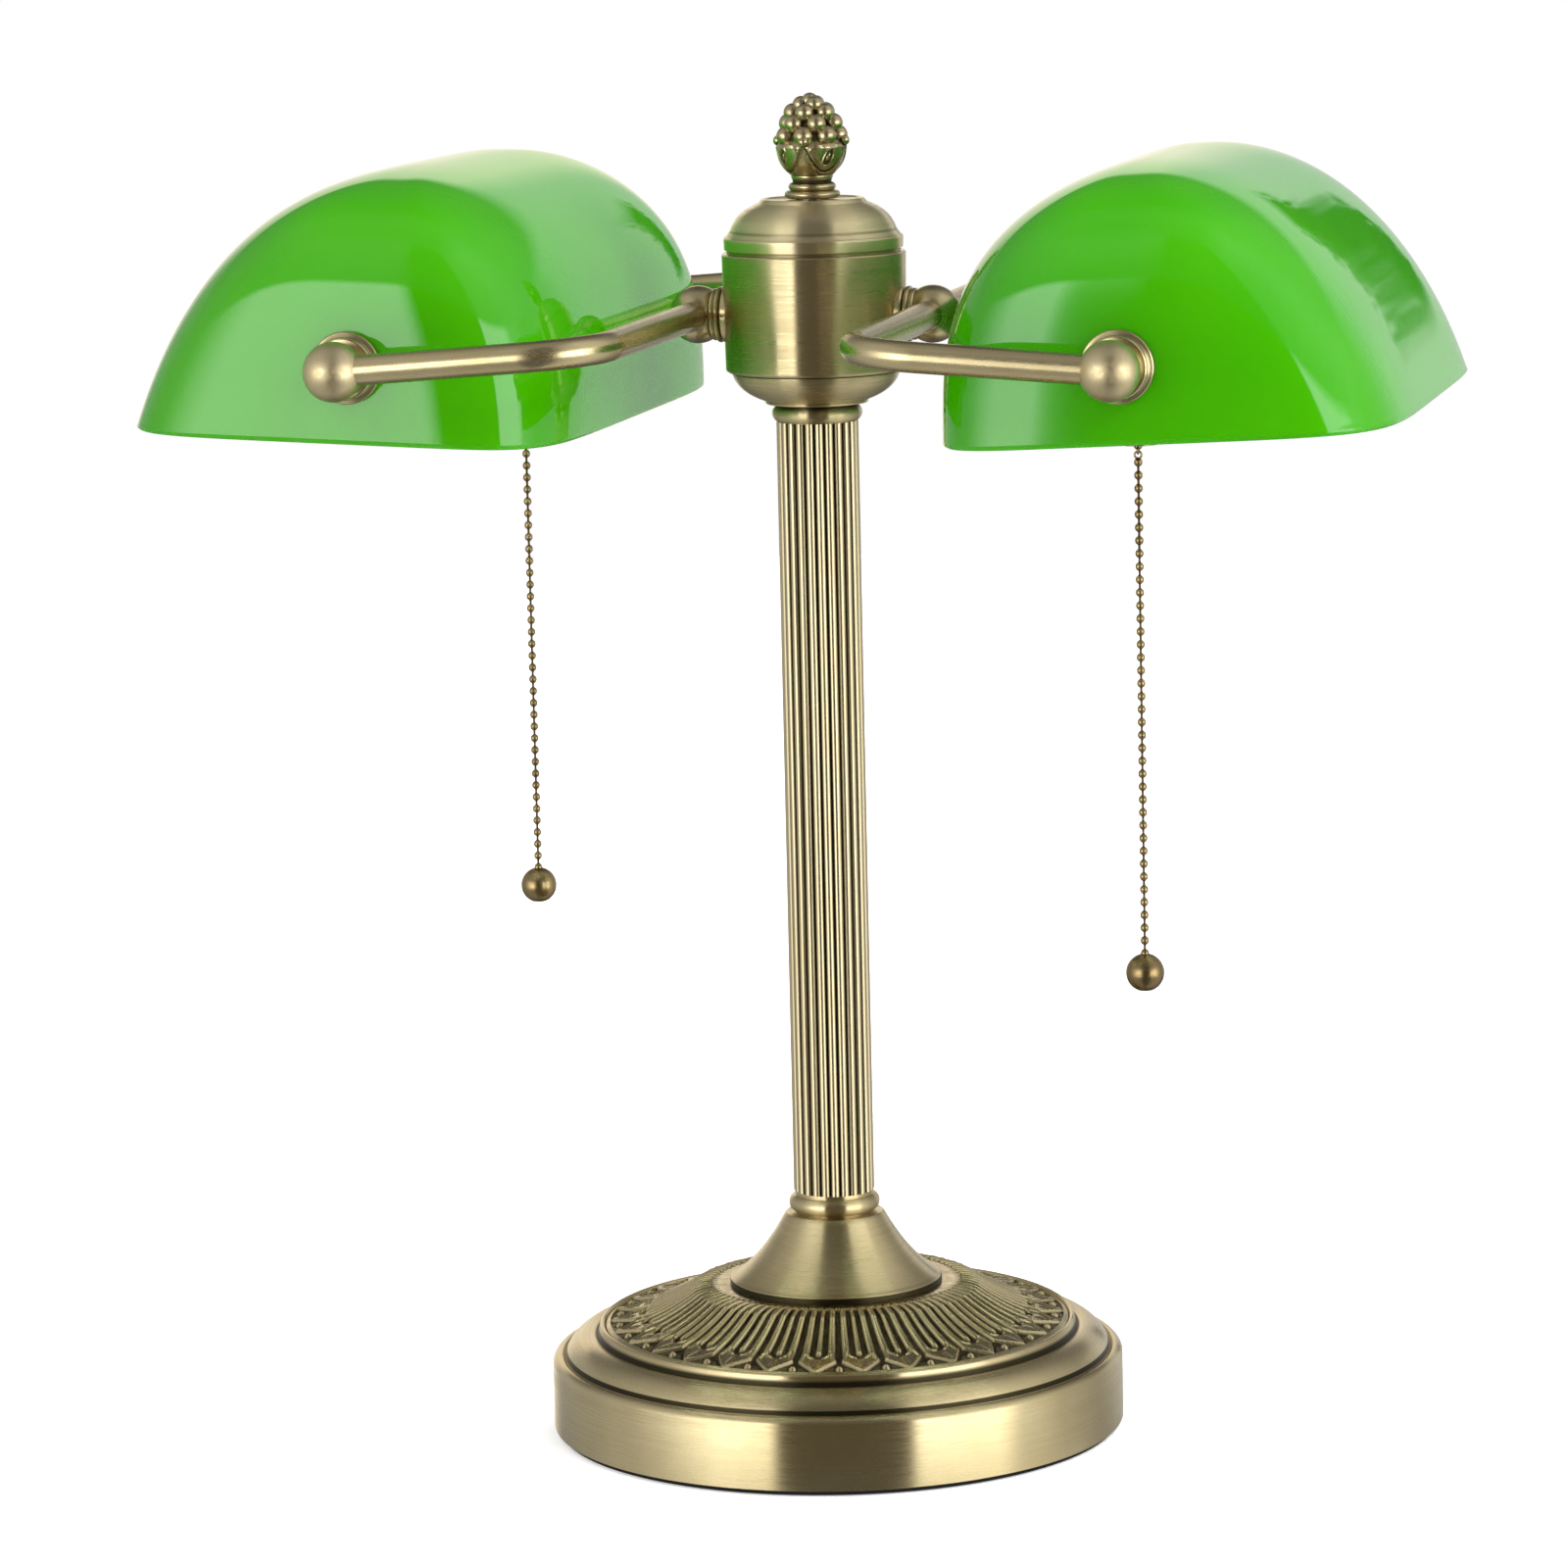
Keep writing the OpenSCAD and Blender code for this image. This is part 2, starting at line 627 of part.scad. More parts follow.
// String of beads on a wire, hung from a small eye
module pull_chain(turn) {
    bottom = first_bead_z - (bead_count - 1) * bead_pitch;
    link_r = 0.35;
    beads = [for (k = [bead_count - 1:-1:0]) let (z = first_bead_z - k * bead_pitch)
        each [[link_r, z - bead_r], [0.72 * bead_r, z - 0.72 * bead_r], [bead_r, z],
              [0.72 * bead_r, z + 0.72 * bead_r], [link_r, z + bead_r]]];
    color(DARK_BRASS) head(turn) at_chain() {
        rotate_extrude($fn = 24) polygon(
            concat([[0, bottom - bead_r]], beads, [[0, first_bead_z + bead_r]]));
        translate([0, 0, eye_z - 2 * link_step]) rotate([90, 0, 0]) torus(eye_r, wire_r);
    }
}

// Turned ball with a pocket for the last bead and a hole below
module pull_ball(turn) {
    color(DARK_BRASS) head(turn) at_chain() difference() {
        flat_ball(pull_r, pull_z, pull_z - pull_r + 0.5);
        cylinder_from(bead_r + 0.05, pull_z + pull_r - 1.5, pull_z + pull_r + 1);
        cylinder_from(1.6, pull_z - pull_r - 1, pull_z - pull_r + 1.6);
    }
}

felt_pad();
base_weight();
base_shell();
cord_bushing();
lotus_plate();
column_foot();
lower_collar();
column();
tie_rod();
rod_washers();
rod_locknuts();
upper_collar();
hub_bowl();
hub_body();
hub_cap();
finial();
wire_connectors();
hub_seats();
swivel_collar(RIGHT);  // right_swivel_collar
swivel_stud(RIGHT);  // right_swivel_stud
swivel_washer(RIGHT);  // right_swivel_washer
swivel_nut(RIGHT);  // right_swivel_nut
knuckle(RIGHT);  // right_knuckle
yoke_tube(RIGHT);  // right_yoke_tube
ball_joints(RIGHT);  // right_ball_joints
shade(RIGHT);  // right_shade
rosettes(RIGHT);  // right_rosettes
gaskets(RIGHT);  // right_gaskets
socket_nipple(RIGHT);  // right_socket_nipple
pivot_stud(RIGHT);  // right_pivot_stud
stud_nut(RIGHT);  // right_stud_nut
socket_cap(RIGHT);  // right_socket_cap
socket_shell(RIGHT);  // right_socket_shell
chain_guide(RIGHT);  // right_chain_guide
bulb(RIGHT);  // right_bulb
pull_rod(RIGHT);  // right_pull_rod
pull_link(RIGHT);  // right_pull_link
pull_chain(RIGHT);  // right_pull_chain
pull_ball(RIGHT);  // right_pull_ball
swivel_collar(LEFT);  // left_swivel_collar
swivel_stud(LEFT);  // left_swivel_stud
swivel_washer(LEFT);  // left_swivel_washer
swivel_nut(LEFT);  // left_swivel_nut
knuckle(LEFT);  // left_knuckle
yoke_tube(LEFT);  // left_yoke_tube
ball_joints(LEFT);  // left_ball_joints
shade(LEFT);  // left_shade
rosettes(LEFT);  // left_rosettes
gaskets(LEFT);  // left_gaskets
socket_nipple(LEFT);  // left_socket_nipple
pivot_stud(LEFT);  // left_pivot_stud
stud_nut(LEFT);  // left_stud_nut
socket_cap(LEFT);  // left_socket_cap
socket_shell(LEFT);  // left_socket_shell
chain_guide(LEFT);  // left_chain_guide
bulb(LEFT);  // left_bulb
pull_rod(LEFT);  // left_pull_rod
pull_link(LEFT);  // left_pull_link
pull_chain(LEFT);  // left_pull_chain
pull_ball(LEFT);  // left_pull_ball
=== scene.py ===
# Looks of the double-headed banker's lamp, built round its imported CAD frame.
# Sizes in this script are millimetres; meshes are written in metres.
import math

import bpy
import numpy as np
from mathutils import Matrix, Vector


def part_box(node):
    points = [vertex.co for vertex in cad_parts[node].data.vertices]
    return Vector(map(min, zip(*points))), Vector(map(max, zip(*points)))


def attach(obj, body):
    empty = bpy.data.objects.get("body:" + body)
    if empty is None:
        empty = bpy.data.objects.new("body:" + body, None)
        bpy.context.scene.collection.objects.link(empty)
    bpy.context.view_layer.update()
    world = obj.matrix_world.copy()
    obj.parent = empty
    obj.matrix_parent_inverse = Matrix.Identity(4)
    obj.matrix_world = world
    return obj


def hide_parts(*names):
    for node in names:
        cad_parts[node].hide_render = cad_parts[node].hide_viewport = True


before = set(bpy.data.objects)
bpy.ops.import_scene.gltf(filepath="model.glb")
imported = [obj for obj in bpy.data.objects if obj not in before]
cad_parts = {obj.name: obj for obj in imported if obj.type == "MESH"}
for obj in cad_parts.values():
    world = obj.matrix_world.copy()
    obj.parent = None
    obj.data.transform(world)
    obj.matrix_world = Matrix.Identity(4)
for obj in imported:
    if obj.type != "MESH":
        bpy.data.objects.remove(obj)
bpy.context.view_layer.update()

MM = 0.001


def low(node):
    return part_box(node)[0] / MM


def high(node):
    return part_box(node)[1] / MM


# ---- sizes, read from the frame where a node's box gives them ----

base_r = high("base_shell").x
felt_t = high("felt_pad").z
plate_r = high("lotus_plate").x
lip_z = high("base_shell").z
foot_r = high("column_foot").x
foot_z = low("column_foot").z
foot_top = high("column_foot").z
column_z = low("column").z
column_top = high("column").z
column_out = high("column").x
bowl_z = low("hub_bowl").z
hub_z = low("hub_body").z
hub_top = high("hub_body").z
hub_r = high("hub_body").y
cap_z = high("hub_cap").z
collar_x = low("right_swivel_collar").x
knuckle_face = high("right_swivel_collar").x
knuckle_z = (low("right_swivel_collar").z + high("right_swivel_collar").z) / 2
tube_r = 4.4
knuckle_x = low("right_yoke_tube").x + tube_r
ball_low, ball_high = low("right_ball_joints"), high("right_ball_joints")
ball_r = (ball_high.z - ball_low.z) / 2
head_z = (ball_high.z + ball_low.z) / 2
head_half = ball_high.y - ball_r
head_x = (low("right_rosettes").x + high("right_rosettes").x) / 2
bend_r = 21
shade_half = high("right_shade").y
glass_t = 3.6
pull_x = (low("right_pull_ball").x + high("right_pull_ball").x) / 2
pull_y = (low("right_pull_ball").y + high("right_pull_ball").y) / 2
pull_r = (high("right_pull_ball").x - low("right_pull_ball").x) / 2
pull_top = high("right_pull_ball").z
socket_r = 17.5
cord_z = (low("cord_bushing").z + high("cord_bushing").z) / 2

# ---- mesh helpers ----


def set_patina_shade(mesh, values):
    """Point attribute of patina and painted shade: 0 is bright metal and 1 is dark."""
    layer = mesh.attributes.new("patina_shade", "FLOAT", "POINT")
    layer.data.foreach_set("value", np.asarray(values, np.float32))


def make_mesh(name, points, faces, sharp=32, patina_shade=None):
    """Mesh object from points in mm, smooth where its faces meet below the sharp angle."""
    mesh = bpy.data.meshes.new(name)
    mesh.from_pydata((np.asarray(points, float) * MM).tolist(), [], faces)
    mesh.update()
    mesh.shade_smooth()
    mesh.set_sharp_from_angle(angle=math.radians(sharp))
    if patina_shade is not None:
        set_patina_shade(mesh, patina_shade)
    obj = bpy.data.objects.new(name, mesh)
    bpy.context.scene.collection.objects.link(obj)
    return obj


def grid_faces(rows, cols, wrap_rows=False, start=0):
    """Quads between rows of points, each row closed round."""
    faces = []
    for i in range(rows if wrap_rows else rows - 1):
        a, b = start + i * cols, start + (i + 1) % rows * cols
        for j in range(cols):
            k = (j + 1) % cols
            faces.append((a + j, a + k, b + k, b + j))
    return faces


def arc(x, y, r, a, b, n=12):
    """Points on an arc between two angles in degrees."""
    return [(x + r * math.cos(math.radians(a + (b - a) * i / n)),
             y + r * math.sin(math.radians(a + (b - a) * i / n))) for i in range(n + 1)]


def bow(p, q, s, n=20):
    """Points on a curve that leaves p towards q and reaches s."""
    p, q, s = (np.array(v, float) for v in (p, q, s))
    return [tuple((1 - t) ** 2 * p + 2 * t * (1 - t) * q + t * t * s)
            for t in np.linspace(0, 1, n + 1)]


def rounded(points, r=0.25, n=3):
    """Outline with each of its corners cut by a small round of about radius r."""
    out = []
    count = len(points)
    for i in range(count):
        a, b, c = (np.array(points[(i + k) % count], float) for k in (-1, 0, 1))
        ab, bc = np.linalg.norm(b - a), np.linalg.norm(c - b)
        if min(ab, bc) < 1e-6:
            continue
        turn = math.acos(np.clip(np.dot(b - a, c - b) / (ab * bc), -1, 1))
        if turn < math.radians(25) or b[0] < 1e-6:
            out.append(tuple(b))
            continue
        cut = min(r * math.tan(min(turn, 2.4) / 2), ab * 0.45, bc * 0.45)
        out += bow(b - (b - a) / ab * cut, b, b + (c - b) / bc * cut, n)
    return out


def revolve(name, outline, segments=160, soften=0.25, patina_shade=None):
    """Solid of revolution round Z from a closed outline of (r, z) points."""
    line = rounded(outline, soften) if soften else outline
    line = [p for i, p in enumerate(line) if i == 0 or math.dist(p, line[i - 1]) > 1e-4]
    turn = np.linspace(0, 2 * math.pi, segments, endpoint=False)
    points = []
    for r, z in line:
        r = max(r, 0.02)
        points.append(np.stack([r * np.cos(turn), r * np.sin(turn), np.full(segments, z)], 1))
    dark = None
    if patina_shade:
        dark = np.repeat([patina_shade(r, z) for r, z in line], segments)
    return make_mesh(name, np.concatenate(points), grid_faces(len(line), segments, True),
                     patina_shade=dark)


def place(obj, matrix):
    """Move a piece's points, so that its object stays at the origin."""
    obj.data.transform(matrix)
    obj.data.update()
    return obj


def along_x(z):
    """Lay a shape made round Z along +X at height z."""
    return Matrix.Translation(Vector((0, 0, z)) * MM) @ Matrix.Rotation(math.pi / 2, 4, "Y")


def along_tilt(side):
    """Lay a shape made round Z along the tilt axis; side is -1 at the socket's end."""
    spin = Matrix.Rotation(math.pi / 2 * -side, 4, "X")
    return Matrix.Translation(Vector((head_x, 0, head_z)) * MM) @ spin


def join(name, parts):
    """One mesh object from several."""
    points, faces, start = [], [], 0
    for part in parts:
        data = part.data
        block = np.empty(len(data.vertices) * 3)
        data.vertices.foreach_get("co", block)
        points.append(block.reshape(-1, 3) / MM)
        faces += [tuple(v + start for v in f.vertices) for f in data.polygons]
        start += len(data.vertices)
        bpy.data.objects.remove(part)
    return make_mesh(name, np.concatenate(points), faces)


# ---- shader helpers ----


class Nodes:
    """A node tree, with short calls for its nodes."""

    def __init__(self, tree):
        self.tree = tree
        tree.nodes.clear()

    def new(self, kind):
        return self.tree.nodes.new("ShaderNode" + kind)

    def put(self, node, socket, value):
        """Link an output to a socket, or set the socket's own value."""
        if isinstance(value, bpy.types.NodeSocket):
            self.tree.links.new(value, node.inputs[socket])
        elif value is not None:
            node.inputs[socket].default_value = value

    def math(self, operation, a, b=None):
        node = self.new("Math")
        node.operation = operation
        self.put(node, 0, a)
        self.put(node, 1, b)
        return node.outputs[0]

    def noise(self, vector, scale, detail=3.0, roughness=0.55):
        node = self.new("TexNoise")
        self.put(node, "Vector", vector)
        self.put(node, "Scale", scale)
        self.put(node, "Detail", detail)
        self.put(node, "Roughness", roughness)
        return node.outputs["Fac"]

    def spread(self, value, from_low, from_high, to_low=0.0, to_high=1.0):
        """Smooth step from one range to another."""
        node = self.new("MapRange")
        node.interpolation_type = "SMOOTHSTEP"
        for k, v in enumerate((value, from_low, from_high, to_low, to_high)):
            self.put(node, k, v)
        return node.outputs[0]

    def blend(self, factor, a, b):
        """Mix of two colours, each a colour or an output."""
        node = self.new("Mix")
        node.data_type = "RGBA"
        self.put(node, 0, factor)
        for k, v in ((6, a), (7, b)):
            self.put(node, k, (*v, 1.0) if isinstance(v, tuple) else v)
        return node.outputs[2]

    def ramp(self, value, stops):
        """Colour along a value from 0 to 1, from pairs of a place and a colour."""
        node = self.new("ValToRGB")
        self.put(node, 0, value)
        points = node.color_ramp.elements
        while len(points) < len(stops):
            points.new(0.5)
        for point, (at, colour) in zip(points, stops):
            point.position = at
            point.color = (*colour, 1)
        return node.outputs[0]


class Shader(Nodes):
    """A material's nodes round its one shader."""

    def __init__(self, name):
        self.material = bpy.data.materials.new(name)
        self.material.use_nodes = True
        super().__init__(self.material.node_tree)
        self.bsdf = self.new("BsdfPrincipled")
        self.put(self.new("OutputMaterial"), "Surface", self.bsdf.outputs[0])

    def set(self, **values):
        for name, value in values.items():
            self.put(self.bsdf, name.replace("_", " "), value)

    def position(self):
        return self.new("TexCoord").outputs["Object"]

    def attribute(self, name, output="Fac"):
        node = self.new("Attribute")
        node.attribute_name = name
        return node.outputs[output]

    def scale(self, vector, by):
        node = self.new("VectorMath")
        node.operation = "MULTIPLY"
        self.put(node, 0, vector)
        self.put(node, 1, by)
        return node.outputs[0]

    def bump(self, height, strength, distance):
        node = self.new("Bump")
        self.put(node, "Strength", strength)
        self.put(node, "Distance", distance * MM)
        self.put(node, "Height", height)
        return node.outputs[0]

    def lathe(self):
        """Vector whose x is the distance from the turning axis and z the place along it."""
        parts = self.new("SeparateXYZ")
        self.put(parts, 0, self.attribute("turned", "Vector"))
        square = self.math("ADD", self.math("MULTIPLY", parts.outputs[0], parts.outputs[0]),
                           self.math("MULTIPLY", parts.outputs[1], parts.outputs[1]))
        joined = self.new("CombineXYZ")
        self.put(joined, 0, self.math("SQRT", square))
        self.put(joined, 1, self.math("MULTIPLY", parts.outputs[0], 0.02))
        self.put(joined, 2, parts.outputs[2])
        return joined.outputs[0]


BRASS = (0.62, 0.52, 0.3)
BRASS_DEEP = (0.48, 0.38, 0.17)
# colour of patina and painted shade, laid on where a piece's point attribute is high
PATINA_SHADE = (0.055, 0.048, 0.026)


def brass(name, turned=True, grain=0.5, rough=0.27, along=None, mottle=0.35, tint=BRASS,
          deep=BRASS_DEEP, dark=PATINA_SHADE, patina_shade_range=(0.45, 0.9)):
    """Antique brass: brushed in rings where it is turned, darkened by patina and painted shade
    where its point attribute is high.
    """
    s = Shader(name)
    where = s.position()
    cloud = s.noise(where, 38, 4, 0.6)
    colour = s.blend(s.spread(cloud, 0.35, 0.7, 0.0, mottle), tint, deep)
    # painted shade mixed with patina, read from the point attribute
    patina_shade_mask = s.spread(s.attribute("patina_shade"), *patina_shade_range)
    colour = s.blend(patina_shade_mask, colour, dark)
    if turned:
        rings = s.lathe()
        fine = s.noise(rings, 5200, 2, 0.7)
        broad = s.noise(rings, 900, 2, 0.6)
        lines = s.math("ADD", s.math("MULTIPLY", fine, 0.6), s.math("MULTIPLY", broad, 0.4))
    elif along:
        lines = s.noise(s.scale(where, along), 2600, 3, 0.65)
    else:
        lines = s.noise(where, 900, 4, 0.7)
    colour = s.blend(s.spread(lines, 0.3, 0.75, 0.0, 0.16), colour, deep)
    roughness = s.math("ADD", s.spread(lines, 0.3, 0.7, rough - 0.06, rough + 0.08),
                       s.math("MULTIPLY", patina_shade_mask, 0.25))
    s.set(Base_Color=colour, Metallic=1.0, Roughness=roughness,
          Normal=s.bump(lines, grain * 0.25, 0.02))
    return s


def brushed(s, axis, amount=1.0):
    """Stretch the highlight across the turning marks round an axis."""
    node = s.new("Tangent")
    node.direction_type = "RADIAL"
    node.axis = axis
    s.set(Tangent=node.outputs[0], Anisotropic=amount, Anisotropic_Rotation=0.25)
    return s.material


def plain(name, low_colour, high_colour, scale, roughness, metallic=0.0, depth=0.05,
          strength=0.2):
    """Moulded, cast or plated surface with fine grain in its colour, gloss and relief."""
    s = Shader(name)
    grain = s.noise(s.position(), scale, 3.0, 0.6)
    s.set(Base_Color=s.blend(grain, low_colour, high_colour), Metallic=metallic,
          Roughness=s.spread(grain, 0.3, 0.7, roughness - 0.05, roughness + 0.08),
          Normal=s.bump(grain, strength, depth))
    return s.material


turned_z = brushed(brass("brass_turned_z", rough=0.3), "Z")
# lighter copy of the turned brass for the cap: a painted highlight standing in for the bright
# reflection on its dome
cap_brass_painted_light = brushed(brass("brass_cap_painted_light", rough=0.33, tint=(0.8, 0.69, 0.42),
                         deep=(0.62, 0.5, 0.26)), "Z")
base_brass = brushed(brass("brass_base", rough=0.25), "Z")
turned_x = brushed(brass("brass_turned_x", rough=0.24), "X", 0.5)
turned_y = brushed(brass("brass_turned_y", rough=0.26), "Y", 0.5)
column_brass = brass("brass_column", turned=False, along=(1.0, 1.0, 0.004), rough=0.3,
                     mottle=0.2, grain=0.03, tint=(0.53, 0.455, 0.29)).material
tube_brass = brass("brass_tube", turned=False, along=(0.06, 1.0, 1.0), rough=0.26,
                   mottle=0.35, grain=0.12).material
ball_brass = brass("brass_ball", turned=False, along=(0.3, 0.3, 0.3), rough=0.44, mottle=0.4,
                   grain=0.1, tint=(0.66, 0.56, 0.35)).material
cast_brass = brass("brass_cast", turned=False, along=(0.1, 0.1, 0.1), rough=0.21, mottle=0.4,
                   grain=0.03, patina_shade_range=(0.3, 0.85)).material
berry_brass = brass("brass_berries", turned=False, along=(0.1, 0.1, 0.1), rough=0.3,
                    mottle=0.3, grain=0.03, tint=(0.5, 0.42, 0.25),
                    deep=(0.33, 0.26, 0.13)).material
dark_brass = brass("brass_dark", turned=False, rough=0.3, mottle=0.7, grain=0.8,
                   tint=(0.36, 0.27, 0.13), deep=(0.2, 0.14, 0.06),
                   dark=(0.05, 0.035, 0.018)).material
socket_brass = brass("brass_socket", turned=False, rough=0.26, mottle=0.3,
                     tint=(0.5, 0.4, 0.2), deep=(0.36, 0.27, 0.12)).material
steel = plain("steel", (0.42, 0.42, 0.43), (0.62, 0.63, 0.64), 900, 0.32, 1.0)
iron = plain("iron", (0.03, 0.03, 0.032), (0.075, 0.075, 0.08), 500, 0.6, 0.4, 0.2, 0.5)
black_plastic = plain("black_plastic", (0.012, 0.012, 0.013), (0.03, 0.03, 0.032), 1500, 0.42)
ivory_plastic = plain("ivory_plastic", (0.6, 0.54, 0.4), (0.7, 0.64, 0.5), 700, 0.4)
rubber = plain("rubber", (0.02, 0.02, 0.02), (0.045, 0.045, 0.045), 1800, 0.75)


def felt_material():
    """Black felt with fine fibres."""
    s = Shader("felt")
    fibre = s.noise(s.scale(s.position(), (1.0, 3.0, 3.0)), 1400, 6, 0.7)
    cloud = s.noise(s.position(), 90, 3)
    colour = s.blend(fibre, (0.004, 0.004, 0.004), (0.02, 0.02, 0.021))
    s.set(Base_Color=s.blend(s.math("MULTIPLY", cloud, 0.4), colour, (0.02, 0.02, 0.02)),
          Roughness=1.0, Specular_IOR_Level=0.1, Normal=s.bump(fibre, 0.8, 0.3))
    return s.material


def glass_material(name, light, deep, roughness):
    """Opaque cased glass: even colour, faint waves and a hard gloss."""
    s = Shader(name)
    where = s.position()
    cloud = s.noise(where, 14, 2)
    fine = s.noise(where, 160, 3)
    colour = s.blend(s.spread(cloud, 0.3, 0.7), light, deep)
    colour = s.blend(s.spread(fine, 0.5, 0.8, 0.0, 0.08), colour, deep)
    waves = s.noise(s.scale(where, (1.0, 0.7, 1.3)), 22, 1)
    s.set(Base_Color=colour, Roughness=s.spread(fine, 0.3, 0.7, roughness, roughness + 0.02),
          IOR=1.52, Normal=s.bump(waves, 0.12, 0.6))
    return s


def bulb_material():
    """White bulb with its powder inside."""
    s = Shader("bulb_glass")
    powder = s.noise(s.position(), 700, 3)
    s.set(Base_Color=s.blend(powder, (0.83, 0.82, 0.78), (0.9, 0.89, 0.86)),
          Roughness=s.spread(powder, 0.3, 0.7, 0.16, 0.22), IOR=1.5,
          Normal=s.bump(powder, 0.05, 0.02))
    return s.material


felt = felt_material()
green_glass = glass_material("green_glass", (0.034, 0.245, 0.0), (0.025, 0.221, 0.0), 0.03)
opal_glass = glass_material("opal_glass", (0.82, 0.86, 0.8), (0.76, 0.83, 0.74), 0.16)
rim_glass = glass_material("rim_glass", (0.34, 0.66, 0.26), (0.2, 0.56, 0.12), 0.12)
bulb_glass = bulb_material()

# ---- putting pieces on bodies ----


def put(obj, body, nodes, material):
    """Finish a piece, hide the CAD nodes that it stands for, and let it ride on its body."""
    if material is not None:
        obj.data.materials.clear()
        obj.data.materials.append(material)
    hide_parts(*nodes)
    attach(obj, body)
    return obj


def mark_turned(obj):
    """Point attribute with each point's place before its part is laid in the lamp."""
    mesh = obj.data
    co = np.empty(len(mesh.vertices) * 3, np.float32)
    mesh.vertices.foreach_get("co", co)
    layer = mesh.attributes.get("turned") or mesh.attributes.new("turned", "FLOAT_VECTOR", "POINT")
    layer.data.foreach_set("vector", co)
    return obj


# ---- base ----

band_z = low("base_shell").z + 19.5
sheet_t = 1.3

felt_r = base_r - 1.5               # the fabric's edge stands a little past its CAD disc
felt_hole = 14
pad = revolve("vis_felt_pad", [(felt_hole, 0.02), (felt_r, 0.02), (felt_r, felt_t),
                               (felt_hole, felt_t)], 192, 0.5)
put(pad, "stand", ["felt_pad"], felt)


def shell_shade_patina(r, z):
    """Painted shade with some patina: dark in the groove over the band and in the corner under the
    lip.
    """
    in_groove = 83.0 < r < 83.6 and z > band_z
    under_lip = 73 <= r < 74.2 and z < 31
    return 0.95 if in_groove or under_lip else 0.3


shell_line = ([(base_r, felt_t)] + arc(base_r - 2.5, band_z, 2.5, 0, 90, 10)
              + [(base_r - 3, band_z + 2.4), (base_r - 4.3, band_z + 0.3)]
              + arc(base_r - 12.5, band_z - 0.3, 9, 8, 90, 24)
              + [(73.6, 29.4), (73.2, 30.4), (72.9, 32.4)]
              + arc(72.1, lip_z - 0.7, 0.7, 0, 180, 10)
              + [(plate_r, 31.5), (61, 31.5), (61, 30.2), (71.5, 30.2), (71.5, 28.2)]
              + arc(base_r - 12.5, band_z - 0.3, 7.4, 90, 8, 16)
              + [(82, band_z - 1.5), (base_r - sheet_t, band_z - 1.5),
                 (base_r - sheet_t, felt_t)])
shell = mark_turned(revolve("vis_base_shell", shell_line, 288, 0.2, patina_shade=shell_shade_patina))
put(shell, "stand", ["base_shell"], base_brass)

bushing = revolve("vis_cord_bushing", [(3.2, -0.8), (4, -0.8), (4, 0), (4.5, 0), (4.5, 3.2),
                                       (4.1, 3.7), (3.5, 3.7), (3.2, 3.3)], 64, 0.15)
place(bushing, Matrix.Translation(Vector((0, base_r - 4, cord_z)) * MM)
      @ Matrix.Rotation(-math.pi / 2, 4, "X"))
put(bushing, "stand", ["cord_bushing"], black_plastic)

# ---- lotus plate: thirty petals with ribs running up to the flat ring ----

PETALS = 30
PHASE = 1.3


def smooth(v):
    """Soft step from 0 to 1."""
    v = np.clip(v, 0, 1)
    return v * v * (3 - 2 * v)


def plate_height(r):
    """Height of the plate's ridges at a radius."""
    line = ([(37.7, 44.4), (38.2, 44.9), (41, 44.6)]
            + bow((66.5, 34.1), (56, 35.6), (44, 43.7), 30)[::-1]
            + [(69.5, 33.3), (plate_r, 32.4)])
    line = np.array(line)
    return np.interp(r, line[:, 0], line[:, 1])


def ridge(offset, half_width, power=2.2):
    """Rounded ridge, 0 to 1 high, across its width."""
    t = np.clip(np.abs(offset) / np.maximum(half_width, 0.02), 0, 1)
    return (1 - t ** power) ** 0.5 * (half_width > 0.02)


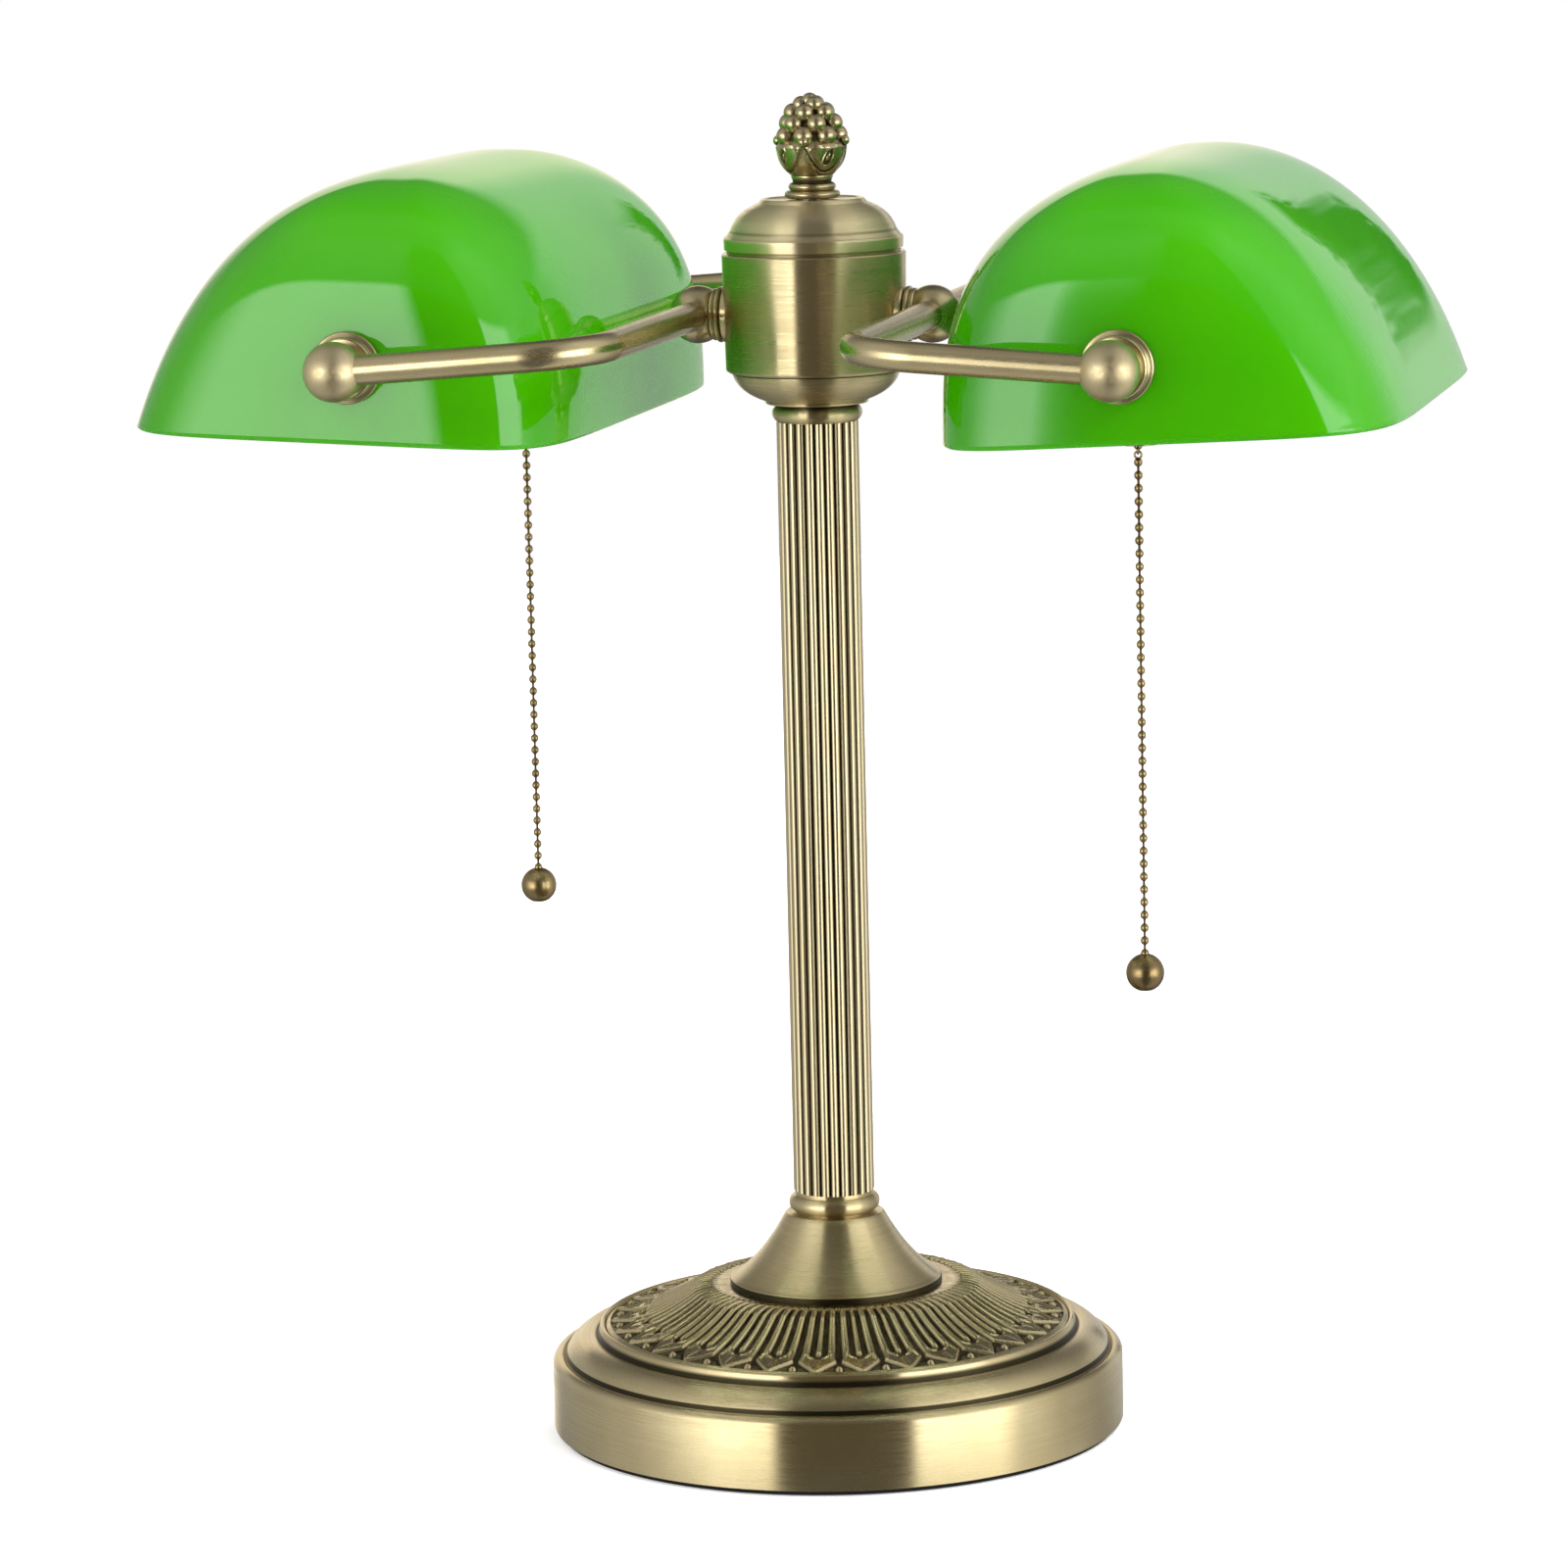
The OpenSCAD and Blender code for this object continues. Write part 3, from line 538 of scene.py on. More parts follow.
def petal_relief(r, across, half):
    """Height of the petals, 0 in their grooves and 1 on their ridges, and their berries."""
    x = np.abs(across)
    inward = np.clip((58 - r) / 20, 0, 1)
    rib = 1.15 - 0.45 * inward
    slot = rib + 1.35 - 0.4 * inward
    edge = half - 0.85 + 0.3 * inward
    round_slot = np.sqrt(np.clip(1 - ((r - 57.8) / 3.0) ** 2, 0, 1))
    slot_here = np.where(r > 57.8, slot * round_slot - (r > 60.75), slot)
    round_rib = np.sqrt(np.clip(1 - ((r - 57.4) / 1.7) ** 2, 0, 1))
    rib_here = np.where(r > 57.4, rib * round_rib - (r > 59.05), rib)
    centre = 0.92 * ridge(x, rib_here, 1.7) * np.where(r > 57.4, round_rib, 1)
    middle, wide = (slot + edge) / 2, (edge - slot) / 2 + 0.15
    arm = ridge(x - middle, wide, 1.8)
    taper = np.clip((r - 62.3) / 7.4, 0, 1)
    shoulder = np.exp(-((r - 62.3) / 1.6) ** 2) * 0.25
    blade_edge = np.where(r < 62.3, half - 0.85, (62.3 * 0.1047 - 0.85) * (1 - taper ** 1.15))
    blade_edge = blade_edge + shoulder
    inside_blade = blade_edge - x
    blade = smooth(inside_blade / 0.9 + 0.5)
    out_of_slot = smooth((x - slot_here) / 0.5 + 0.4)
    rim = 0.42 * np.exp(-((inside_blade - 0.75) / 0.5) ** 2)
    rim = rim + 0.3 * np.exp(-((x - slot_here - 0.5) / 0.4) ** 2) * (r < 61.5)
    crease = 0.26 * np.exp(-(x / 0.8) ** 2) * smooth((r - 61.2) / 1.8)
    flat = blade * out_of_slot * np.minimum(0.62 + rim + crease, 1.0)
    toward_tip = smooth((r - 57.0) / 3.0)
    body = arm * (1 - toward_tip) * out_of_slot + flat * toward_tip
    gap = half - x
    berry = np.sqrt(np.clip(1 - ((r - 67.0) / 1.3) ** 2 - (gap / 1.25) ** 2, 0, 1))
    outside = smooth((r - 63.5) / 3.0) * smooth((-inside_blade - 0.7) / 0.35) * 0.4
    round_berry = np.hypot((r - 67.0) / 1.3, gap / 1.25)
    outside = outside * smooth((round_berry - 1.1) / 0.25)
    edge_line = smooth((r - 69.2) / 0.4) * 0.95
    relief = np.maximum.reduce([body, centre, outside, edge_line, berry * 1.1])
    return relief, berry


def lotus(turns=1080):
    """The plate, its petals in relief on top and plain underneath."""
    radii = np.concatenate([
        np.linspace(plate_r, 70.2, 4), np.linspace(69.9, 56.5, 50), np.linspace(55.5, 45.0, 12),
        np.linspace(44.5, 43.3, 4), np.linspace(42.4, 38.8, 4), [38.4, 38.1]])
    turn = np.linspace(0, 2 * math.pi, turns, endpoint=False)
    pitch = 2 * math.pi / PETALS
    local = (turn - math.radians(PHASE) + pitch / 2) % pitch - pitch / 2
    r, phi = np.meshgrid(radii, local, indexing="ij")
    relief, berry = petal_relief(r, r * phi, r * pitch / 2)
    depth = 1.5 * smooth((plate_r - 0.6 - r) / 0.8) * smooth((r - 37.7) / 0.5)
    z = plate_height(r) - depth * (1 - np.minimum(relief, 1.15))
    a = np.broadcast_to(turn, r.shape)
    points = [np.stack([r * np.cos(a), r * np.sin(a), z], -1).reshape(-1, 3)]
    # painted shade with patina: darker the lower the relief, so the grooves are dark and the petal
    # tips light
    dark = np.clip(1.12 - relief * 1.15, 0, 1)
    dark = np.where((r > 60.5) & (relief > 0.5), np.minimum(dark, 0.25), dark)
    dark = np.where((r > 70.6) | (r < 38.0), 0.3, dark)
    dark = [dark.reshape(-1)]
    under = [(37.7, 44.4), (36, 44.45), (6, 44.45), (6, 43.1), (43, 42.6), (56, 35.4), (66, 32.6),
             (68.5, 31.5), (plate_r, 31.5)]
    for rr, zz in under:
        points.append(np.stack([rr * np.cos(turn), rr * np.sin(turn), np.full(turns, zz)], 1))
        # painted shade on the plain underside
        dark.append(np.full(turns, 0.9 if rr > 37.8 else 0.35))
    faces = grid_faces(len(radii) + len(under), turns, True)
    return make_mesh("vis_lotus_plate", np.concatenate(points), faces, 60,
                     patina_shade=np.concatenate(dark))


plate = mark_turned(lotus())
put(plate, "stand", ["lotus_plate"], cast_brass)

# ---- column ----

foot_line = ([(foot_r, foot_z), (foot_r, foot_z + 1.2)]
             + arc(foot_r - 0.8, foot_z + 1.2, 0.8, 0, 70, 5)
             + bow((31, 46.7), (22.5, 52.5), (15.4, foot_top - 0.6), 32)
             + [(14.8, foot_top), (4.9, foot_top), (4.9, foot_top - sheet_t)]
             + bow((13.2, foot_top - sheet_t), (20, 52.5), (30, 45.6), 16) + [(30.5, foot_z)])
# painted shade along the outer bottom edge of the foot
foot = mark_turned(revolve("vis_column_foot", foot_line, 224, 0.2,
                           patina_shade=lambda r, z: 0.95 if z < foot_z + 1.7 and r > 30 else 0.3))
put(foot, "stand", ["column_foot"], turned_z)


lower_line = ([(4.9, foot_top), (11.8, foot_top)] + arc(11.2, foot_top + 3.1, 2.7, -75, 75, 16)
              + [(12, column_z - 0.6), (12, column_z), (4.9, column_z)])
collar = mark_turned(revolve("vis_lower_collar", lower_line, 160, 0.15))
put(collar, "stand", ["lower_collar"], turned_z)

upper_line = ([(4.9, column_top), (12.4, column_top)]
              + arc(10.9, column_top + 2.5, 2.7, -65, 60, 16)
              + [(11.6, bowl_z), (4.9, bowl_z)])
collar = mark_turned(revolve("vis_upper_collar", upper_line, 160, 0.15))
put(collar, "stand", ["upper_collar"], turned_z)


def ribbed_column(ribs=24, per=18):
    """Tube with rounded ribs and narrow grooves, with painted shade and patina darker the deeper
    the groove.
    """
    tube = 11.3
    rib = tube * math.sin(math.pi / ribs) * 0.93
    centre = tube - 0.35
    pitch = 2 * math.pi / ribs
    ring, dark = [], []
    for i in range(ribs * per):
        a = i * 2 * math.pi / (ribs * per)
        d = (a + pitch / 2) % pitch - pitch / 2
        inside = rib ** 2 - (centre * math.sin(d)) ** 2
        reach = centre * math.cos(d) + math.sqrt(inside) if inside > 0 else 0
        r = max(reach, tube - 0.25)
        ring.append((r * math.cos(a), r * math.sin(a)))
        # painted shade with patina, darker the deeper into a groove; the tube's inside is painted
        # dark
        dark.append(min(max(0.3 + (column_out - r) * 0.75, 0), 1))
    inner = [(x * 9.5 / math.hypot(x, y), y * 9.5 / math.hypot(x, y)) for x, y in ring]
    levels = [column_z, column_z + 0.4, (column_z + column_top) / 2, column_top - 0.4, column_top]
    points = [(x, y, z) for z in levels for x, y in ring]
    points += [(x, y, z) for z in (column_top, column_z) for x, y in inner]
    return make_mesh("vis_column", points, grid_faces(len(levels) + 2, len(ring), True), 60,
                     patina_shade=dark * len(levels) + [0.9] * 2 * len(ring))


put(mark_turned(ribbed_column()), "stand", ["column"], column_brass)

# ---- hub ----

bowl_line = ([(14.8, bowl_z)] + arc(15, bowl_z + 0.5, 0.5, -90, 60, 6)
             + bow((15.9, bowl_z + 1.1), (24.2, bowl_z + 4), (25.2, hub_z), 24)
             + [(23.6, hub_z)] + bow((23.2, hub_z - 0.6), (21.5, bowl_z + 4.6), (14.8, bowl_z + 2))
             + [(4.9, bowl_z + 2), (4.9, bowl_z)])
# painted shade, with patina, at the top edge under the drum and round the neck over the collar
bowl = mark_turned(revolve("vis_hub_bowl", bowl_line, 192, 0.15,
                           patina_shade=lambda r, z: 0.85 if z > hub_z - 0.3 or r < 15.2 else 0.3))
put(bowl, "stand", ["hub_bowl"], turned_z)

hub_line = ([(4.9, hub_z), (25.7, hub_z)] + arc(25.9, hub_z + 1.2, 1.1, -90, 0, 10)
            + [(hub_r, hub_top - 0.4), (hub_r - 0.35, hub_top), (25, hub_top), (25, hub_z + 2),
               (4.9, hub_z + 2)])
# painted shade along the bottom edge, at the joint with the bowl
hub = mark_turned(revolve("vis_hub_body", hub_line, 224, 0.12,
                          patina_shade=lambda r, z: 0.85 if z < hub_z + 0.15 else 0.3))
put(hub, "stand", ["hub_body"], turned_z)

cap_line = ([(26.1, hub_top), (26.1, hub_top + 0.9), (26.8, hub_top + 1.2), (26.9, hub_top + 4)]
            + arc(25.9, hub_top + 4.1, 1, 0, 70, 8) + [(25, hub_top + 6.6), (24.4, hub_top + 8.2)]
            + bow((23.9, hub_top + 9), (22.2, hub_top + 12.6), (16.2, cap_z - 1.1), 28)
            + [(15.6, cap_z - 0.3), (15.2, cap_z), (14.4, cap_z), (13.8, cap_z - 0.35),
               (4.9, cap_z - 0.35), (4.9, cap_z - 1.6), (14, cap_z - 1.6)]
            + bow((15, cap_z - 1.7), (21.4, hub_top + 10.6), (23.4, hub_top + 5))
            + [(23.4, hub_top - 2.5), (24.9, hub_top - 2.5), (24.9, hub_top)])


def cap_shade_patina(r, z):
    """Painted shade with some patina: dark at the joint with the drum and where the dome springs
    from its band.
    """
    at_joint = z < hub_top + 1.0 and r > 25
    under_dome = hub_top + 6.3 < z < hub_top + 8
    return 0.65 if at_joint or under_dome else 0.3


cap = mark_turned(revolve("vis_hub_cap", cap_line, 192, 0.15, patina_shade=cap_shade_patina))
put(cap, "stand", ["hub_cap"], cap_brass_painted_light)

seats = []
for side in (0, math.pi):
    seat = revolve("seat", [(0, 24.6), (8.3, 24.6), (8.6, 25.2), (8.6, 27.3), (8.1, collar_x - 0.3),
                            (0, collar_x - 0.3)], 96, 0.12)
    place(seat, Matrix.Rotation(side, 4, "Z") @ along_x(knuckle_z))
    seats.append(seat)
seats = mark_turned(join("vis_hub_seats", seats))
put(seats, "stand", ["hub_seats"], turned_x)

# ---- finial: cup of four scrolled leaves holding a cluster of berries ----

BEADS = -91                         # bearing of the first bead, degrees


def leaf_relief(w, v, half):
    """Height, 0 to 1, of one leaf of the cup: a lobe with a scrolled eye over a calyx."""
    away = np.abs(w) / half
    edge = 8.2 + 8.0 * away ** 2.4
    over = v - edge
    calyx = 0.62 + 0.38 * np.exp(-((over + 0.55) / 0.5) ** 2)
    lobe = 0.3 + 0.4 * np.sqrt(np.clip(1 - (w / (half * 0.95)) ** 2, 0, 1)) * smooth(over / 2.2)
    tilt = w - (v - 12.6) * 0.35
    eye = np.hypot(tilt / 1.35, (v - 12.6) / 2.4)
    lid = 0.95 * np.exp(-((eye - 1.1) / 0.24) ** 2)
    seed = 0.2 + 0.6 * np.sqrt(np.clip(1 - (eye / 0.5) ** 2, 0, 1))
    fold = np.hypot((np.abs(w) - 3.4) / 2.6, (v - 13.8) / 2.4)
    scroll = 0.85 * np.exp(-((fold - 1.0) / 0.2) ** 2) * smooth((v - 13.2) / 1.2)
    lobe = np.where(eye < 0.95, seed, np.maximum.reduce([lobe, lid, scroll]))
    groove = smooth(over / 0.45) * 0.9 + 0.1
    return np.clip(np.where(over > 0, lobe * groove, calyx * smooth((-over + 0.1) / 0.35)), 0, 1)


def cup(turns=480):
    """The finial's foot, neck and cup of four leaves, with a core under the berries."""
    line = (arc(7.2, 1.2, 1.1, -80, 80, 14) + arc(6, 3.5, 1.1, -70, 70, 12)
            + [(5.75, 4.9), (5.8, 5.2)]
            + [(5.8 + 0.3 * t, 5.2 + 1.4 * t) for t in np.linspace(0.2, 0.9, 4)]
            + bow((6.0, 6.8), (9.6, 10.2), (10.2, 15.4), 56)
            + [(10.0, 16.2), (9.4, 16.9), (8.6, 17.6), (7.4, 20), (5.6, 23.5), (3.2, 27),
               (0.02, 29)])
    turn = np.linspace(0, 2 * math.pi, turns, endpoint=False)
    lobe = (turn - math.radians(BEADS)) % (math.pi / 2) - math.pi / 4
    points, dark = [], []
    for r, z in line:
        w = lobe * max(r, 6.4)
        v = np.full(turns, z)
        on = float(smooth((z - 5.4) / 1.0) * smooth((17.0 - z) / 1.2))
        relief = leaf_relief(w, v, math.pi / 4 * max(r, 6.4))
        rr = r + on * (relief * 1.0 - 0.4)
        points.append(np.stack([rr * np.cos(turn), rr * np.sin(turn), cap_z + v], 1))
        # painted shade with patina: dark at the neck and under the berries, and in the leaves'
        # hollows the lower the relief
        base = 0.3 if z < 4.4 else 0.85 if z > 17.2 or z < 5.6 else 0.5
        dark.append(np.where(on > 0.4, 1.0 - relief * 0.95, base))
    points = np.concatenate(points)
    return make_mesh("cup", points, grid_faces(len(line), turns)), np.concatenate(dark)


def berry_cluster():
    """Berries in tiers and a bead over each joint of two leaves."""
    points, faces, dark, start = [], [], [], 0
    tiers = [(7, 7.9, 18.7, 3.05, -94), (6, 6.9, 22.3, 2.95, -64), (5, 5.3, 25.5, 2.8, -98),
             (3, 2.8, 27.8, 2.6, -53), (1, 0.2, 28.9, 2.45, -160)]
    balls = [(out, math.radians(first) + i * 2 * math.pi / count, z, size)
             for count, out, z, size, first in tiers for i in range(count)]
    balls += [(10.1, math.radians(BEADS + i * 90), 17.2, 1.6) for i in range(4)]
    rows, cols = 22, 32
    for reach, angle, z, size in balls:
        lat = np.linspace(-math.pi / 2, math.pi / 2, rows)[1:-1]
        lon = np.linspace(0, 2 * math.pi, cols, endpoint=False)
        a, b = np.meshgrid(lat, lon, indexing="ij")
        out = np.array([math.cos(angle) * 0.85, math.sin(angle) * 0.85, 0.5])
        out /= np.linalg.norm(out)
        side = np.array([-math.sin(angle), math.cos(angle), 0.0])
        top = np.cross(out, side)
        ball = (np.cos(a) * np.cos(b))[..., None] * side + (np.cos(a) * np.sin(b))[..., None] * top
        ball = ball + np.sin(a)[..., None] * out
        centre = np.array([reach * math.cos(angle), reach * math.sin(angle), cap_z + z])
        points.append((centre + ball * size).reshape(-1, 3))
        # painted shade: each berry is darker on its side turned in and down, lighter on its side
        # turned out and up
        dark.append((0.95 - 0.75 * smooth((np.sin(a) + 0.35) / 0.75)).reshape(-1))
        faces += grid_faces(rows - 2, cols, start=start)
        last = start + (rows - 3) * cols
        faces += [tuple(range(start + cols - 1, start - 1, -1)), tuple(range(last, last + cols))]
        start += (rows - 2) * cols
    return make_mesh("berries", np.concatenate(points), faces), np.concatenate(dark)


cup_mesh, cup_dark = cup()
berries, berry_dark = berry_cluster()
finial = join("vis_finial", [cup_mesh, berries])
set_patina_shade(finial.data, np.concatenate([cup_dark, berry_dark]))
put(mark_turned(finial), "stand", ["finial"], berry_brass)

# ---- heads: made on +X, and turned half a turn for the left one ----


def flat_ball_line(r, centre, flat):
    """Outline of a ball cut flat across its inner side."""
    start = math.degrees(math.asin((flat - centre) / r))
    return [(0, flat)] + arc(0, centre, r, start, 90, 32)


def tube_path(steps=24):
    """Centre line of the yoke's tube in its own plane, from one end to the other."""
    length = math.hypot(head_x - knuckle_x, knuckle_z - head_z)
    end = length - ball_r + 2
    half = head_half
    corner = arc(bend_r, -half + bend_r, bend_r, -90, -180, steps)
    mirrored = [(x, -y) for x, y in corner[::-1]]
    return ([(end, -half), ((end + bend_r) / 2, -half)] + corner + [(0, 0)] + mirrored
            + [((end + bend_r) / 2, half), (end, half)])


def tube_mesh(name, sides=48):
    path = tube_path()
    drop = math.atan2(knuckle_z - head_z, head_x - knuckle_x)
    points = []
    for i, (x, y) in enumerate(path):
        ax, ay = path[max(i - 1, 0)]
        bx, by = path[min(i + 1, len(path) - 1)]
        size = math.hypot(bx - ax, by - ay)
        nx, ny = -(by - ay) / size, (bx - ax) / size
        for k in range(sides):
            t = 2 * math.pi * k / sides
            out = tube_r * math.cos(t)
            points.append((x + nx * out, y + ny * out, tube_r * math.sin(t)))
    faces = grid_faces(len(path), sides)
    faces.append(tuple(range(sides - 1, -1, -1)))
    faces.append(tuple(range((len(path) - 1) * sides, len(path) * sides)))
    obj = make_mesh(name, points, faces, 50)
    lean = Matrix.Rotation(drop, 4, "Y")
    return place(obj, Matrix.Translation(Vector((knuckle_x, 0, knuckle_z)) * MM) @ lean)


RIM_IN, RIM_OUT, RIM_DROP, CROWN_H, CROWN_U, FOOT = 58.5, 74.7, 22.3, 53.4, -1.4, 38.8


def dome_level(inset, h, angles):
    """One level of the shade, as x, y and z from the tilt axis."""
    height = CROWN_H - inset + RIM_DROP
    outer = (h * height + FOOT) / (height + FOOT)
    foot = FOOT / (height + FOOT)
    reach_in = (RIM_IN + CROWN_U - inset) * (1 - h ** 2.97) ** (1 / 1.65)
    reach_out = (RIM_OUT - CROWN_U - inset) * math.sqrt((1 - outer ** 2) / (1 - foot ** 2))
    half = (shade_half - inset) * (1 - h ** 5.84) ** (1 / 3.88)
    square = 6.14 - 2.5 * h
    c, s = np.cos(angles), np.sin(angles)
    x = CROWN_U + np.where(c > 0, reach_out, reach_in) * np.sign(c) * np.abs(c) ** (2 / square)
    y = half * np.sign(s) * np.abs(s) ** (2 / square)
    return np.stack([x, y, np.full(len(angles), h * height - RIM_DROP)], 1)


def even_angles(count):
    """Angles that space the points of the rim evenly."""
    dense = np.linspace(0, 2 * math.pi, 20001)
    line = dome_level(0, 0.35, dense)
    run = np.concatenate([[0], np.cumsum(np.linalg.norm(np.diff(line, axis=0), axis=1))])
    return np.interp(np.linspace(0, run[-1], count, endpoint=False), run, dense)


def shade_mesh(name, count=256, levels=72):
    """Cased dome: green outside, white inside, with a rounded rim."""
    angles = even_angles(count)
    steps = np.sin(np.radians(np.linspace(0, 89.4, levels)))
    outer = [dome_level(0, h, angles) for h in steps]
    inner = [dome_level(glass_t, h, angles) for h in steps]
    lift = np.array([0, 0, 0.5])
    rim_out, rim_in = dome_level(0.45, 0, angles), dome_level(glass_t - 0.45, 0, angles)
    outer[0], inner[0] = outer[0] + lift, inner[0] + lift
    rows = inner[::-1] + [rim_in, (rim_in + rim_out) / 2, rim_out] + outer
    last = (len(rows) - 1) * count
    faces = grid_faces(len(rows), count)
    faces += [tuple(range(count - 1, -1, -1)), tuple(range(last, last + count))]
    bands = [1] * levels + [2, 2, 0] + [0] * (levels - 1)
    obj = make_mesh(name, np.concatenate(rows), faces, 70)
    for material in (green_glass.material, opal_glass.material, rim_glass.material):
        obj.data.materials.append(material)
    obj.data.polygons.foreach_set("material_index", list(np.repeat(bands, count)) + [1, 0])
    lean = Matrix.Rotation(math.radians(-2.4), 4, "Y")
    return place(obj, Matrix.Translation(Vector((head_x, 0, head_z)) * MM) @ lean)


def bead_string(name):
    """Beads on a wire, hung from a small eye."""
    pitch, count, size, wire = 3.77, 39, 1.23, 0.35
    first = high("right_pull_chain").z - 3.4
    line = [(0.02, first + size)]
    for k in range(count):
        z = first - k * pitch
        for t in np.linspace(-68, 68, 11):
            a = math.radians(t)
            line.append((size * math.cos(a) ** 0.9, z - size * 1.04 * math.sin(a)))
        line += [(wire, z - size * 1.12), (wire, z - pitch + size * 1.12)]
    line = line[:-1] + [(0.02, first - (count - 1) * pitch - size)]
    # painted shade: dark on the wire and where each bead narrows towards it
    dark = np.repeat([0.95 - 0.6 * min(r / size, 1) for r, z in line], 20)
    turn = np.linspace(0, 2 * math.pi, 20, endpoint=False)
    points = [np.stack([r * np.cos(turn), r * np.sin(turn), np.full(20, z)], 1) for r, z in line]
    return make_mesh(name, np.concatenate(points), grid_faces(len(line), 20), 70, patina_shade=dark)


def torus(name, ring, wire, across=40, round_it=14):
    points = []
    for i in range(across):
        a = 2 * math.pi * i / across
        for k in range(round_it):
            t = 2 * math.pi * k / round_it
            r = ring + wire * math.cos(t)
            points.append((r * math.cos(a), r * math.sin(a), wire * math.sin(t)))
    return make_mesh(name, points, grid_faces(across, round_it, True), 180)


def at_chain(z=0.0):
    return Matrix.Translation(Vector((pull_x, pull_y, z)) * MM)


def pair(name, obj, body, node, material):
    """Finish a piece of the right head and its twin on the left head."""
    twin = bpy.data.objects.new("vis_left_" + name, obj.data.copy())
    bpy.context.scene.collection.objects.link(twin)
    place(twin, Matrix.Rotation(math.pi, 4, "Z"))
    obj.name = "vis_right_" + name
    for side, piece in (("right", obj), ("left", twin)):
        put(piece, f"{side}_{body}", [f"{side}_{node}"], material)


def mark_round_tilt(obj):
    """Mark a piece that is turned round the tilt axis."""
    upright = (Matrix.Rotation(math.pi / 2, 4, "X")
               @ Matrix.Translation(Vector((-head_x, 0, -head_z)) * MM))
    place(mark_turned(place(obj, upright)), upright.inverted())


collar_line = ([(4.0, collar_x), (7.9, collar_x)] + arc(7.6, collar_x + 0.8, 0.8, -80, 80, 12)
               + arc(6.8, collar_x + 2.4, 1, -50, 60, 12)
               + [(6.8, knuckle_face), (4.0, knuckle_face)])
# painted shade, with patina, on the collar's narrow neck and inner rings
obj = mark_turned(revolve("collar", collar_line, 128, 0.1,
                          patina_shade=lambda r, z: 0.85 if r < 7.5 and z < 30.2 or r < 6.9 else 0.3))
pair("swivel_collar", place(obj, along_x(knuckle_z)), "yoke", "swivel_collar", turned_x)

obj = mark_turned(revolve("knuckle", flat_ball_line(ball_r, knuckle_x, knuckle_face), 128, 0.1))
pair("knuckle", place(obj, along_x(knuckle_z)), "yoke", "knuckle", turned_x)

pair("yoke_tube", tube_mesh("tube"), "yoke", "yoke_tube", tube_brass)

balls = []
for side in (-1, 1):
    line = flat_ball_line(ball_r, head_half, head_half - ball_r + 0.4)
    balls.append(place(revolve("ball", line, 144, 0.1), along_tilt(side)))
obj = join("balls", balls)
mark_round_tilt(obj)
pair("ball_joints", obj, "yoke", "ball_joints", ball_brass)

pair("shade", shade_mesh("shade"), "head", "shade", None)

face = head_half - ball_r + 0.1
rosette_line = ([(3.02, shade_half + 0.4), (10.4, shade_half + 0.4), (10.5, shade_half + 1.6)]
                + arc(9.8, shade_half + 2, 0.7, 0, 80, 8) + [(9, shade_half + 3.1)]
                + arc(8.2, face - 0.9, 0.9, 0, 80, 8) + [(3.02, face)])
parts = [place(revolve("rosette", rosette_line, 128, 0.12), along_tilt(side)) for side in (-1, 1)]
obj = join("rosettes", parts)
mark_round_tilt(obj)
pair("rosettes", obj, "head", "rosettes", turned_y)

cap_end, seam, mouth = 105, 92, 42
line = ([(4.82, cap_end + 1.6), (8, cap_end + 1.6), (8.6, cap_end)]
        + bow((9, cap_end - 0.6), (15.5, cap_end - 2), (socket_r - 0.3, seam + 3), 20)
        + [(socket_r + 0.2, seam + 2.6), (socket_r + 0.2, seam), (16.5, seam), (16.1, seam + 3)]
        + bow((15.5, seam + 4), (14.5, cap_end - 3), (9, cap_end - 1.8), 10)
        + [(4.82, cap_end - 1.8)])
obj = place(mark_turned(revolve("socket_cap", line, 128, 0.15)), along_tilt(-1))
pair("socket_cap", obj, "head", "socket_cap", turned_y)

ridges = [(socket_r + 0.12 * (k % 2), 88.5 - 0.6 * k) for k in range(9)]
line = ([(16.2, seam), (socket_r, seam), (socket_r, 89)] + ridges
        + [(socket_r, 83), (socket_r, 59), (socket_r + 0.5, 57.6), (socket_r, 56.2),
           (socket_r, mouth + 1.2), (socket_r + 0.6, mouth + 0.6), (socket_r, mouth),
           (16.2, mouth), (16.2, 70), (4, 70), (4, 84), (16.2, 84)])
obj = place(mark_turned(revolve("socket_shell", line, 144, 0.15)), along_tilt(-1))
pair("socket_shell", obj, "head", "socket_shell", socket_brass)

mouth_z = low("right_chain_guide").z
line = [(1.3, mouth_z + 9.2), (3.2, mouth_z + 9.2), (3.2, mouth_z + 3.4), (6, mouth_z + 0.8),
        (6, mouth_z), (4.2, mouth_z), (2.2, mouth_z + 3.4), (1.3, mouth_z + 4.2)]
obj = place(revolve("guide", line, 96, 0.25), at_chain())
pair("chain_guide", obj, "head", "chain_guide", socket_brass)

line = ([(0.02, 68), (4.5, 67.4), (12.9, 62.6), (13.2, 61)]
        + bow((13.2, 42), (14.4, 34), (15.4, 24), 14) + arc(0, -62, 15.4, 0, -90, 24)
        + [(0.02, -76.4)] + arc(0, -62, 14.4, -88, 0, 16)
        + bow((14.4, 24), (13.4, 34), (12.2, 42), 8) + [(12.2, 60), (0.02, 60)])
obj = place(mark_turned(revolve("bulb", line, 112, 0.1)), along_tilt(-1))
pair("bulb", obj, "head", "bulb", bulb_glass)

